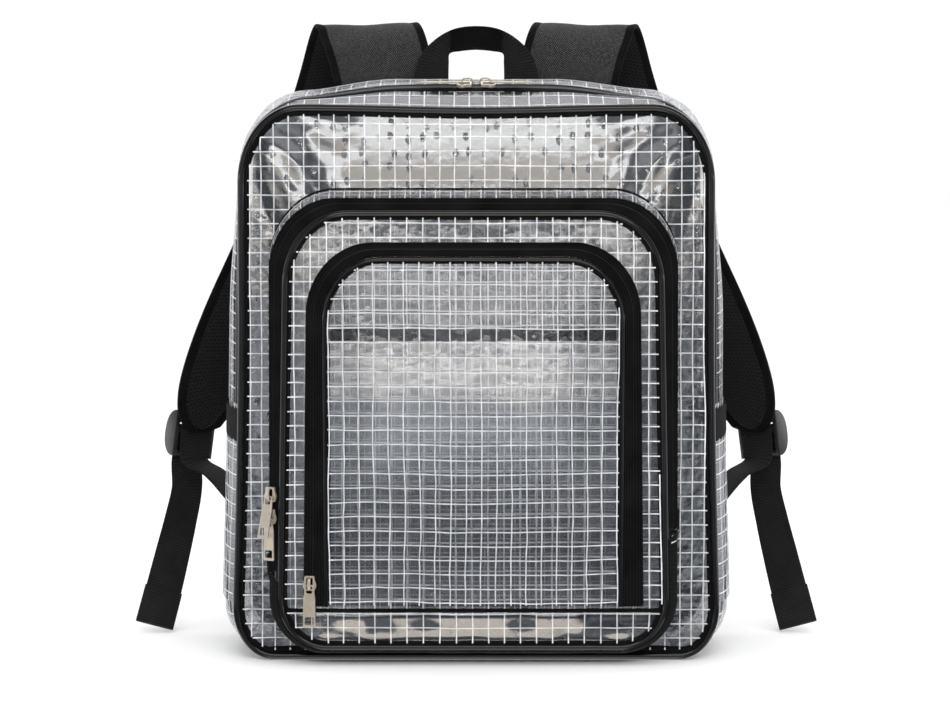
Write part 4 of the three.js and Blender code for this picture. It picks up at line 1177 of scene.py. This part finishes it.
def build_body():
    covered = inset(POCKET_SEAM, 3.0)
    # threads under the front pocket take the darker thread, a painted shade
    looks = "smooth_film covered_film", "white_thread covered_thread"
    for obj in film_panel("front_panel", inset(FRONT_SEAM, 1.2), front_y, FRONT_WEAVE, looks,
                          tape_lift(FRONT_SEAM, 5.6, 2.0), 3.2, step=FRONT_FILM_STEP):
        x, _, z = face_centres(obj)
        inside = (np.abs(x - SHIFT) < half_width(covered, z)) & (z < covered.top) & (z > covered.bottom)
        second_look(obj, inside)
    tube("front_piping", FRONT_SEAM, PIPING_R, level(FRONT_Y))
    tube("back_piping", BACK_SEAM, PIPING_R, level(BACK_Y))
    seam_tape("front_seam_tape", FRONT_SEAM, 1.2, 5.6, raised(front_y, 0.8), foot=2.0)

    zip_from = station_at(FRONT_SEAM, ZIP_FOOT)
    ends = zip_from, 9 - zip_from

    def front_edge(v):
        return 0 * v + WALL_EDGES[0]

    def back_edge(v):
        return 0 * v + WALL_EDGES[1]

    def before_zip(v):
        return zip_across(v) - zip_half(v) + 0.02

    def after_zip(v):
        return zip_across(v) + zip_half(v) - 0.02

    u = even_stations(FRONT_SEAM, *ends, ZIP_STEP)
    strips = [("zip_gusset_front", front_edge, before_zip), ("zip_gusset_back", after_zip, back_edge)]
    for name, low, high in strips:
        across = lerp(low(u)[:, None], high(u)[:, None], np.linspace(0, 1, 18)[None])
        grid = np.repeat(u[:, None], 18, 1), across
        cells = station_cells(FRONT_SEAM, *ends, grid[0]), wall_cells(across)
        lines = wall_lines(*ends, low, high)
        film_strip(name, piece, "puckered_film", grid, film_wall, film_wall, lines, cells)

    sides = [v for v in even_stations(FRONT_SEAM, *ends, PITCH_X)[1:-1] if min(v, 9 - v) < ZIP_TICKS_BELOW]
    ticks = [(np.full(5, v), float(zip_across(v)) + np.linspace(0, ZIP_HALF + 0.01, 5)) for v in sides]
    net = threads(lambda u, t: film_wall(u, t, 0.9), ticks)
    piece("main_zip_edge_threads", net, "white_thread", "film")

    t = np.linspace(*WALL_EDGES, 40)
    grid = np.meshgrid(np.linspace(1.0, zip_from, 90), t, indexing="ij")
    cells = station_cells(FRONT_SEAM, 1.0, zip_from, grid[0]), wall_cells(grid[1])
    lines = wall_lines(1.0, zip_from, front_edge, back_edge)
    film_strip("side_gusset", pair, "side_film", grid, film_wall,
               lambda u, t: film_wall(u, t, THREAD_LIFT), lines, cells)

    along = np.linspace(-1, 1, 60)
    grid = np.meshgrid(along, t, indexing="ij")
    lines = lines_along(along, np.arange(BASE_FIRST[1], 1, PITCH_Z / WALL_SPAN))
    lines += lines_across(np.linspace(0.01, 0.99, 24), np.arange(BASE_FIRST[0], 1, PITCH_X / BASE_HALF))
    cells = (grid[0] - BASE_FIRST[0]) * BASE_HALF / PITCH_X, wall_cells(grid[1], BASE_FIRST[1])
    film_strip("base_panel", piece, "puckered_film", grid, base_wall, base_wall, lines, cells)


def build_main_zip():
    zip_from = station_at(FRONT_SEAM, ZIP_FOOT)

    def edges(u):
        t, half = zip_across(u), zip_half(u)
        return wall(u, t - half, 0.1), wall(u, t + half, 0.1)

    zip_strip("main_zipper", edges, even_stations(FRONT_SEAM, zip_from, 9 - zip_from, ZIP_STEP), 0.5)


def build_side_pockets():
    low, high = (station_at(FRONT_SEAM, z) for z in (SIDE_POCKET_FOOT, SIDE_BAND[0] + 2))
    t = np.linspace(*SIDE_EDGES, 40)
    grid = np.meshgrid(np.linspace(low, high, 46), t, indexing="ij")
    across = np.arange(low + SIDE_FIRST[0], high, PITCH_X / SIDE_RISE)
    lines = lines_across(np.linspace(*SIDE_EDGES, 24), across)
    lines += lines_along(np.linspace(low, high, 24), np.arange(SIDE_FIRST[1], 0.97, PITCH_Z / WALL_SPAN))
    cells = (grid[0] - low - SIDE_FIRST[0]) * SIDE_RISE / PITCH_X, wall_cells(grid[1], SIDE_FIRST[1])
    film_strip("side_pocket", pair, "side_film", grid, side_pocket_wall,
               lambda u, t: side_pocket_wall(u, t, THREAD_LIFT), lines, cells)

    low, high = (station_at(FRONT_SEAM, z) for z in SIDE_BAND)
    band = side_pocket_wall(*np.meshgrid(np.linspace(low, high, 10), t, indexing="ij"))
    thick = np.full((10, 40), 1.5)
    thick[[0, -1]] = 0.8
    uv = both_faces(t[None] * WALL_SPAN, np.linspace(0, SIDE_BAND[1] - SIDE_BAND[0], 10)[:, None])
    pair("side_pocket_band_tape", shell(band, thick), "black_tape", "zip_tape", ["side_pocket_band"], uv=uv)


def build_front_pocket():
    pipe_edge = inset(POCKET_PIPE, -(POCKET_PIPE_R + 0.2))
    looks = "crinkled_film strip_film", "white_thread"
    film, _ = film_panel("front_pocket_face", inset(POCKET_PIPE, 1.0), pocket_film_y, POCKET_WEAVE, looks,
                         tape_lift(POCKET_PIPE, 4.6), 2.0, shift=SHIFT)
    second_look(film, face_centres(film)[2] < HEM_HEIGHTS[1])
    tube("front_pocket_piping", POCKET_PIPE, POCKET_PIPE_R, level(POCKET_FACE_Y), shift=SHIFT)
    front, back = raised(pocket_film_y, 0.8), raised(pocket_film_y, -0.9)
    seam_tape("front_pocket_seam_tape", POCKET_PIPE, 1.2, 4.6, front, shift=SHIFT)
    seam_tape("front_pocket_foot_tape", POCKET_PIPE, 1.2, 4.6, back, shift=SHIFT, foot=19.0)

    def wall_point(u, k, stand=0.0):
        """The pocket's wall from the panel to the zip, or to the piping where there is no zip."""
        sx, sz = ring_point(POCKET_SEAM, u)
        ox, oz = ring_point(POCKET_OUTER, u)
        px, pz = ring_point(pipe_edge, u)
        foot = np.where(ox < 0, *POCKET_ZIP_FOOT)
        beside = smooth(oz, foot - 7, foot - 1)
        low = points(sx, FRONT_Y - 1.0, sz)
        rim = points(lerp(px, ox, beside), lerp(POCKET_FACE_Y, POCKET_ZIP_Y, beside), lerp(pz, oz, beside))
        bow = (0.8 + 0.3 * noise(u * 110, k * 20, 14, 75)) * np.sin(np.pi * k) + stand
        nx, nz = ring_normal(POCKET_SEAM, u)
        out = points(nx, 0, nz) * bow[..., None]
        return low + (rim - low) * np.asarray(k)[..., None] + out + (SHIFT, 0, 0)

    u = even_stations(POCKET_OUTER, 0.0, 9.0, ZIP_STEP)[:-1]
    k = np.linspace(0, 1, 9)
    film = shell(wall_point(*np.meshgrid(u, k, indexing="ij")), FILM, ring=True)
    cells = both_faces(station_cells(POCKET_OUTER, 0.0, 9.0, u)[:, None], (k[None] - POCKET_WALL_THREAD) * 2)
    piece("front_pocket_wall_film", film, "puckered_film", "film", ["front_pocket_wall"], uv=cells)
    across = even_stations(POCKET_OUTER, 0.0, 9.0, PITCH_X)
    across = across[ring_point(POCKET_OUTER, across)[1] > max(POCKET_ZIP_FOOT) + 4]
    top = u[(u > 3.1) & (u < 5.9)]
    lines = lines_across(np.linspace(0, 1, 6), across) + lines_along(top, [POCKET_WALL_THREAD])
    piece("front_pocket_wall_threads", threads(wall_point, lines), "white_thread", "film")
    seam_tape("front_pocket_seam_line", POCKET_SEAM, -1.1, 0.2, level(FRONT_Y - 2.6), 3.0, 6.0, SHIFT)

    def edges(u):
        ox, oz = ring_point(inset(POCKET_OUTER, 0.1), u)
        px, pz = ring_point(pipe_edge, u)
        return points(ox, POCKET_ZIP_Y - 1, oz), points(px, POCKET_FACE_Y + 0.5, pz)

    left, right = (station_at(POCKET_OUTER, z) for z in POCKET_ZIP_FOOT)
    stations = even_stations(POCKET_OUTER, right, 9 - left, ZIP_STEP)
    zip_strip("front_pocket_zipper", edges, stations, CHAIN_AT, SHIFT)

    below = np.linspace(9 - left - 0.05, 9 + right + 0.05, 150) % 9
    k = np.linspace(0.03, 1.06, 6)
    grid = wall_point(*np.meshgrid(below, k, indexing="ij"), 1.3 - 0.8 * k**4)
    uv = both_faces(np.arange(150)[:, None] * ZIP_STEP, k[None] * 20)
    piece("front_pocket_wall_tape", shell(grid, 0.7), "black_tape", "piping", uv=uv)
    bars = [(np.full(4, right - d), np.linspace(0.25, 1.0, 4)) for d in ZIP_BARTACKS]
    net = threads(lambda u, k: wall_point(u, k, 1.6), bars)
    piece("front_pocket_bartacks", net, "white_thread", "zip_tape")


def build_small_pocket():
    pipe_edge = inset(SMALL_PIPE, -(SMALL_PIPE_R + 0.2))

    def edges(u):
        ox, oz = ring_point(SMALL_OUTER, u)
        px, pz = ring_point(pipe_edge, u)
        return points(ox, pocket_face_y(ox, oz) - 1.4, oz), points(px, pocket_face_y(px, pz) - 2.6, pz)

    ends = 2.0, 7.0
    zip_strip("small_pocket_zipper", edges, even_stations(SMALL_OUTER, *ends, ZIP_STEP), CHAIN_AT, SHIFT)
    tube("small_pocket_piping", SMALL_PIPE, SMALL_PIPE_R, raised(pocket_face_y, SMALL_STAND), *ends, SHIFT)
    seam_tape("small_pocket_seam_tape", SMALL_PIPE, 0.8, 3.2, raised(small_face_y, 0.8), *ends, SHIFT)
    film_panel("small_pocket_face", inset(SMALL_PIPE, 0.6), small_face_y, SMALL_WEAVE,
               ("wrinkled_film", "soft_thread"), tape_lift(SMALL_PIPE, 3.2), 1.4, foot=0.6, shift=SHIFT)

    def strip(low, high, half, rows, depth):
        x, z = np.meshgrid(np.linspace(-half, half, int(2 * half / 3.0)), np.linspace(low, high, rows))
        return points(x, depth(x, z), z)

    tapes = [
        ("small_pocket_hem", strip(*HEM_HEIGHTS, HEM_HALF, 4, raised(pocket_face_y, 1.6)), HEM_THICK),
        ("slip_pocket_binding", strip(*SLIP_BAND, SLIP_HALF, 6, slip_y), SLIP_BAND_THICK),
    ]
    for node, grid, thick in tapes:
        uv = both_faces(grid[..., 0], grid[..., 2])
        mesh = shell(grid, np.array(thick)[:, None])
        piece(f"{node}_tape", mesh, "black_tape", "piping", [node], uv=uv, shift=SHIFT)

    film = strip(SLIP_FOOT, SLIP_BAND[0] + 1, SLIP_HALF, 60, slip_y)
    x, _, z = np.moveaxis(film, -1, 0)
    cells = both_faces((x - POCKET_WEAVE.x) / POCKET_PITCH, (z - SLIP_FOOT - 4) / PITCH_Z)
    sheet = shell(film, FILM)
    piece("slip_pocket_film", sheet, "crinkled_film", "film", ["slip_pocket"], uv=cells, shift=SHIFT)
    lines = []
    z = np.linspace(SLIP_FOOT, SLIP_BAND[0], 36)
    for x in np.arange(-9, 10) * POCKET_PITCH + POCKET_WEAVE.x:
        if abs(x) <= SLIP_HALF:
            lines.append((x + 0.9 * noise(z, x, 60, 91), z))
    x = np.linspace(-SLIP_HALF, SLIP_HALF, 40)
    for z in np.arange(POCKET_PIPE.top - 7.0 - 26 * PITCH_Z, SLIP_BAND[0], PITCH_Z):
        lines.append((x, z + noise(x, z, 60, 92)))
    # the slip pocket's threads take the darker thread, painted shade behind the small pocket's film
    net = threads(lambda x, z: points(x, slip_y(x, z), z), lines)
    piece("slip_pocket_threads", net, "covered_thread", "film", shift=SHIFT)


def node_points(node):
    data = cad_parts[node].data
    found = np.empty(3 * len(data.vertices), np.float32)
    data.vertices.foreach_get("co", found)
    return found.reshape(-1, 3).astype(float) / MM


def main_axes(cloud):
    """The directions in which points spread, from the least to the most."""
    return np.linalg.eigh(np.cov((cloud - cloud.mean(axis=0)).T))[1]


def slider_mesh(forward, rise):
    """Two plates and the bridge over them, as (across, travel, away from the tape)."""
    outlines = [rounded(SLIDER_RIM), rounded(SLIDER_SLOT)]
    a = np.linspace(0, np.pi, 24)
    along = forward - BRIDGE_REACH * np.sign(np.cos(a)) * np.abs(np.cos(a)) ** 0.7
    arch = points(0 * a, along, BRIDGE_FOOT + rise * np.sin(a) ** 0.6)
    over = np.tile((1.0, 0.0, 0.0), (24, 1))
    normal = np.cross(over, unit(np.gradient(arch, axis=0)))
    bridge = sweep(arch, over, normal, ellipse(BRIDGE_WIDTH, BRIDGE_THICK, 12, 0.7))
    return join([*(plate(outlines, *row) for row in SLIDER_PLATES), bridge])


def build_hardware():
    """Each slider and pull stands where its CAD node is, turned as that is."""
    pull = plate([rounded(PULL_RIM), rounded(PULL_EYE), rounded(PULL_WINDOW)], 0.0, PULL_THICK, PULL_BEVEL)
    for slider_name, pull_name, travel, forward, rise, flatness in HARDWARE:
        slider = slider_mesh(forward, rise)
        at, hung = node_points(slider_name), node_points(pull_name)
        along = np.array(travel)
        out = square_to(main_axes(at)[:, 0], along)
        out = out * np.sign(np.dot(out, (0, -1, 1)))
        turned = np.stack([np.cross(along, out), along, out])
        low, high = np.min(at @ turned.T, axis=0), np.max(at @ turned.T, axis=0)
        origin = np.array([*(low + high)[:2] / 2, low[2]])
        mesh = (slider[0] + origin) @ turned, slider[1]
        piece(f"{slider_name}_cast", mesh, "pale_gold", "pale_metal", [slider_name], sharp=50)

        axes = main_axes(hung)
        down = axes[:, 2] * np.sign(np.dot(axes[:, 2], hung.mean(axis=0) - at.mean(axis=0)))
        turned = np.stack([axes[:, 1], -down, np.cross(axes[:, 1], -down)])
        low, high = np.min(hung @ turned.T, axis=0), np.max(hung @ turned.T, axis=0)
        top = np.array([(low[0] + high[0]) / 2, high[1], (low[2] + high[2]) / 2]) @ turned
        flat = turned[2]
        if flatness:
            flat = lerp(flat * np.sign(flat[2] + 1e-9), np.array((0.0, 0.0, 1.0)), flatness)
        flat = square_to(flat, down)
        mesh = pull[0] @ np.stack([np.cross(-down, flat), -down, flat]) + top, pull[1]
        piece(f"{pull_name}_cast", mesh, "pale_gold", "pale_metal", [pull_name], body=pull_name, sharp=50)


def build_lock(node):
    """A copy of a ladder lock with its edges rounded, in place of the node."""
    obj = link(f"{node}_cast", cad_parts[node].data.copy())
    obj.data.materials.clear()
    obj.data.materials.append(LOOKS["grey_plastic"])
    weld = obj.modifiers.new("weld", "WELD")
    weld.merge_threshold = 1e-6
    flat = obj.modifiers.new("flat", "DECIMATE")
    flat.decimate_type = "DISSOLVE"
    flat.angle_limit = math.radians(1)
    edge = obj.modifiers.new("edge", "BEVEL")
    edge.width = LOCK_BEVEL * MM
    edge.segments = 3
    edge.limit_method = "ANGLE"
    edge.angle_limit = math.radians(35)
    edge.harden_normals = True
    deps = bpy.context.evaluated_depsgraph_get()
    done = bpy.data.meshes.new_from_object(obj.evaluated_get(deps))
    obj.modifiers.clear()
    obj.data = done
    done.shade_smooth()
    done.set_sharp_from_angle(angle=math.radians(50))
    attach(obj, BAG)
    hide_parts(node)


def build_handle():
    rows = np.array(HANDLE_ROWS, float)
    mirror = rows[:-1][::-1] * (-1, 1, 1, -1, 1, 1)
    both = spline(np.vstack([rows, mirror]), np.linspace(0, 1, 120))
    outer, inner = both[:, :3], both[:, 3:]
    cross = np.linspace(0, 1, 12)
    grid = outer[:, None] + (inner - outer)[:, None] * cross[None, :, None]
    thick = HANDLE_THICK * (0.45 + 0.55 * np.minimum(1, 6 * np.minimum(cross, 1 - cross)))
    uv = both_faces(path_length((outer + inner) / 2)[:, None], cross[None] * HANDLE_WIDTH)
    looks = "black_webbing shaded_webbing"
    loop = piece("grab_handle_webbing", shell(grid, thick), looks, "webbing", ["grab_handle"], uv=uv)
    second_look(loop, np.abs(face_centres(loop)[0]) < HANDLE_UNDERSIDE)


def strap_frame(k):
    """Centre, direction, width direction, half width and thickness of the strap at k from 0 to 1."""
    k = np.atleast_1d(np.asarray(k, float))
    x, y, z, half, thick, lean, yaw = spline(STRAP_ROWS, k).T
    path = STRAP_ROWS[:, :3]
    tangent = unit(spline(path, k + 1e-4) - spline(path, k - 1e-4))
    lean, yaw = np.radians(lean), np.radians(yaw)
    over = points(np.cos(lean) * np.cos(yaw), -np.sin(yaw), np.sin(lean) * np.cos(yaw))
    return points(x, y, z), tangent, square_to(over, tangent), half, thick


def build_straps():
    k = np.linspace(0, 1, 110)
    centre, _, over, _, _ = strap_frame(k * STRAP_TIP)
    _, _, _, half, thick = strap_frame(k)
    w = np.linspace(-1, 1, 25)
    across = np.maximum(half - BINDING_WIDTH + 1.5, 2)[:, None] * w[None]
    grid = centre[:, None] + over[:, None] * across[..., None]
    swell = np.maximum(thick - BINDING_THICK, 0.2)[:, None] * (1 - np.abs(w)[None] ** 3)
    uv = both_faces(path_length(centre)[:, None], across)
    mesh = shell(grid, BINDING_THICK - 0.4 + swell)
    outer_faces = (len(k) - 1) * (len(w) - 1)
    for pad in pair("strap_pad_cushion", mesh, "strap_twill air_mesh", "mesh_pad", ["strap_pad"], uv=uv):
        second_look(pad, np.arange(len(pad.data.polygons)) < outer_faces)

    both = np.concatenate([k, k[::-1]])
    sign = np.repeat((-1.0, 1.0), len(k))
    centre, tangent, over, half, _ = strap_frame(both)
    low, _, low_over, _, _ = strap_frame(both * (STRAP_TIP + 0.006))
    outer = centre + over * (sign * half)[:, None]
    inner = low + low_over * (sign * np.maximum(half - BINDING_WIDTH, 2.3))[:, None]
    width = np.linalg.norm(outer - inner, axis=1)
    profile = np.tile(ellipse(1.0, BINDING_THICK, 14, 0.55), (len(both), 1, 1))
    profile[..., 0] *= width[:, None]
    mesh = sweep((outer + inner) / 2, unit(outer - inner), np.cross(over, tangent), profile)
    uv = one_face(path_length(outer)[:, None], profile[..., 0])
    pair("strap_binding_tape", mesh, "black_tape", "piping", ["strap_binding"], uv=uv)


def build_webbing():
    centre, tangent, over, _, _ = (v[0] for v in strap_frame(LOCK_AT))
    up = -tangent
    wearer = np.cross(over, up)
    middle = centre - wearer * LOCK_STAND - up * LOCK_DROP

    def place(a, n):
        return (*(middle + up * a + wearer * n), *over)

    at, deep, stand = LOOP_TURN
    turn = [(at - deep * math.sin(a), stand * math.cos(a)) for a in np.linspace(0, math.pi, 7)]
    rows = np.array([place(a, n) for a, n in [LOOP_FRONT, *turn, *LOOP_BACK]])
    mesh, uv = webbing_run(rows, np.linspace(0, 1, 60), WEBBING_WIDTH, WEBBING)
    pair("pad_loop_webbing", mesh, "black_webbing", "webbing", ["pad_loop"], uv=uv)

    rows = np.array([*ANCHOR_ROWS, *(place(a, n) for a, n in WRAP_ROWS), *TAIL_ROWS], float)
    rows[:, 3:] = unit(rows[:, 3:])
    strap, strap_uv = webbing_run(rows, np.linspace(0, 1, 260), WEBBING_WIDTH, WEBBING, True)
    last = np.linspace((len(rows) - 2) / (len(rows) - 1), 1, 40)
    hem, hem_uv = webbing_run(rows, last, TAIL_HEM_WIDTH, TAIL_HEM_THICK, True)
    uv = np.vstack([strap_uv, hem_uv])
    pair("lower_webbing_strap", join([strap, hem]), "black_webbing", "webbing", ["lower_webbing"], uv=uv)

    mesh, uv = webbing_run(np.array(TAB_ROWS), np.linspace(0, 1, 12), WEBBING_WIDTH, TAB_THICK)
    pair("anchor_tab_webbing", mesh, "black_webbing", "webbing", ["anchor_tab"], uv=uv)


def build_back():
    o = inset(BACK_SEAM, 2.2)
    grid = panel_grid(o, level(BACK_Y - 2.5), step=5.0)
    x, _, z = np.moveaxis(grid, -1, 0)
    edge = np.minimum(1, np.maximum(half_width(o, z) - np.abs(x), 0) / BACK_SOFT)
    rise = np.minimum(1, np.minimum(z - o.bottom, o.top - z) / BACK_SOFT)
    thick = BACK_RIM + BACK_SWELL * np.sqrt(np.clip(edge * rise, 0, 1)) + 0.25 * noise(x, z, 40, 101)
    mesh = shell(grid, thick)
    uv = both_faces(x, z)
    back = piece("back_panel_pad", mesh, "air_mesh slate_lining", "mesh_pad", ["back_panel"], uv=uv)
    count = (x.shape[0] - 1) * (x.shape[1] - 1)
    second_look(back, np.arange(len(back.data.polygons)) // count == 1)


# Stage: floor, lights, camera

def build_floor():
    data = bpy.data.meshes.new("floor")
    corners = [(x * FLOOR_SIZE, y * FLOOR_SIZE, 0) for x, y in ((-1, -1), (1, -1), (1, 1), (-1, 1))]
    data.from_pydata(corners, [], [(0, 1, 2, 3)])
    floor = link("floor", data)
    look = Look("pale_floor", Base_Color=(1.0, 1.0, 1.0, 1.0), Roughness=0.9, Specular_IOR_Level=0.0)
    look.link(look.map(look.noise(0.01), 0.85, 0.95), "Roughness")
    data.materials.append(look.material)
    floor.visible_glossy = False


def aim(obj, at, target):
    obj.location = at
    obj.rotation_mode = "QUATERNION"
    obj.rotation_quaternion = (Vector(target) - Vector(at)).to_track_quat("-Z", "Y")


def area_light(name, at, target, width, height, watts, glossy):
    light = bpy.data.lights.new(name, "AREA")
    light.shape = "RECTANGLE"
    light.size, light.size_y = width, height
    light.energy = watts
    obj = link(name, light)
    obj.visible_glossy = glossy
    aim(obj, at, target)


def build_light():
    """White surroundings for the camera, even light, and striped reflections for the gloss."""
    world = bpy.data.worlds.new("studio")
    bpy.context.scene.world = world
    world.use_nodes = True
    world.node_tree.nodes.clear()
    sky = Nodes(world.node_tree)
    ray = sky.node("ShaderNodeLightPath", {}).outputs
    aside, behind, height = sky.xyz(sky.node("ShaderNodeTexCoord", {}).outputs["Generated"])
    height = sky.map(height, 0.0, 1.0, -0.5, 1.0)
    aside = sky.map(aside, 0.0, 1.0, -1.0, 1.0)
    behind = sky.map(behind, 0.0, 1.0, *BEHIND_FROM)

    def by_height(rows):
        return sky.ramp(height, *(((sine + 0.5) / 1.5, colour) for sine, colour in rows))

    def glow(colour, strength):
        return sky.node("ShaderNodeBackground", {}, colour, strength).outputs[0]

    def blend(share, a, b):
        return sky.node("ShaderNodeMixShader", {}, share, a, b).outputs[0]

    shares = sky.ramp(aside, *(((x + 1) / 2, grey(share)) for x, share in WINDOW))
    times = {"blend_type": "MULTIPLY"}
    window = sky.node("ShaderNodeMixRGB", times, 1.0, by_height(REFLECTED), shares).outputs[0]
    around = sky.node("ShaderNodeMixRGB", {}, behind, window, by_height(BACKDROP)).outputs[0]
    white = (1.0, 1.0, 1.0, 1.0)
    lit = blend(ray["Is Glossy Ray"], glow(white, SOFT_STRENGTH), glow(around, REFLECTED_STRENGTH))
    last = blend(ray["Is Camera Ray"], lit, glow(white, SEEN_STRENGTH))
    sky.node("ShaderNodeOutputWorld", {}, last)

    for row in LIGHTS:
        area_light(*row)


def build_camera():
    camera = bpy.data.cameras.new("camera")
    camera.sensor_fit = "HORIZONTAL"
    camera.sensor_width = SENSOR
    camera.lens = FOCAL_PIXELS / IMAGE_WIDTH * SENSOR
    obj = link("camera", camera)
    aim(obj, Vector(CAMERA_AT) * MM, Vector(CAMERA_LOOKS_AT) * MM)
    bpy.context.scene.camera = obj


LOOKS = {name: make_film(name, *row) for name, row in FILMS.items()}
LOOKS |= {name: make_plain(name, *row) for name, row in PLAIN.items()}
LOOKS["black_tape"] = make_tape("black_tape", 0.0008, 0.013, 1.9)
LOOKS["black_webbing"] = make_webbing("black_webbing", 0.003, 0.022)
LOOKS["shaded_webbing"] = make_webbing("shaded_webbing", 0.001, 0.006)
LOOKS["strap_twill"] = make_strap_cloth("strap_twill")
LOOKS["air_mesh"] = make_air_mesh("air_mesh")

build_camera()
build_body()
build_main_zip()
build_side_pockets()
build_front_pocket()
build_small_pocket()
build_hardware()
build_lock("ladder_lock_left")
build_lock("ladder_lock_right")
build_handle()
build_straps()
build_webbing()
build_back()
build_floor()
build_light()

scene = bpy.context.scene
scene.cycles.transparent_max_bounces = 64
scene.view_settings.view_transform = "Standard"
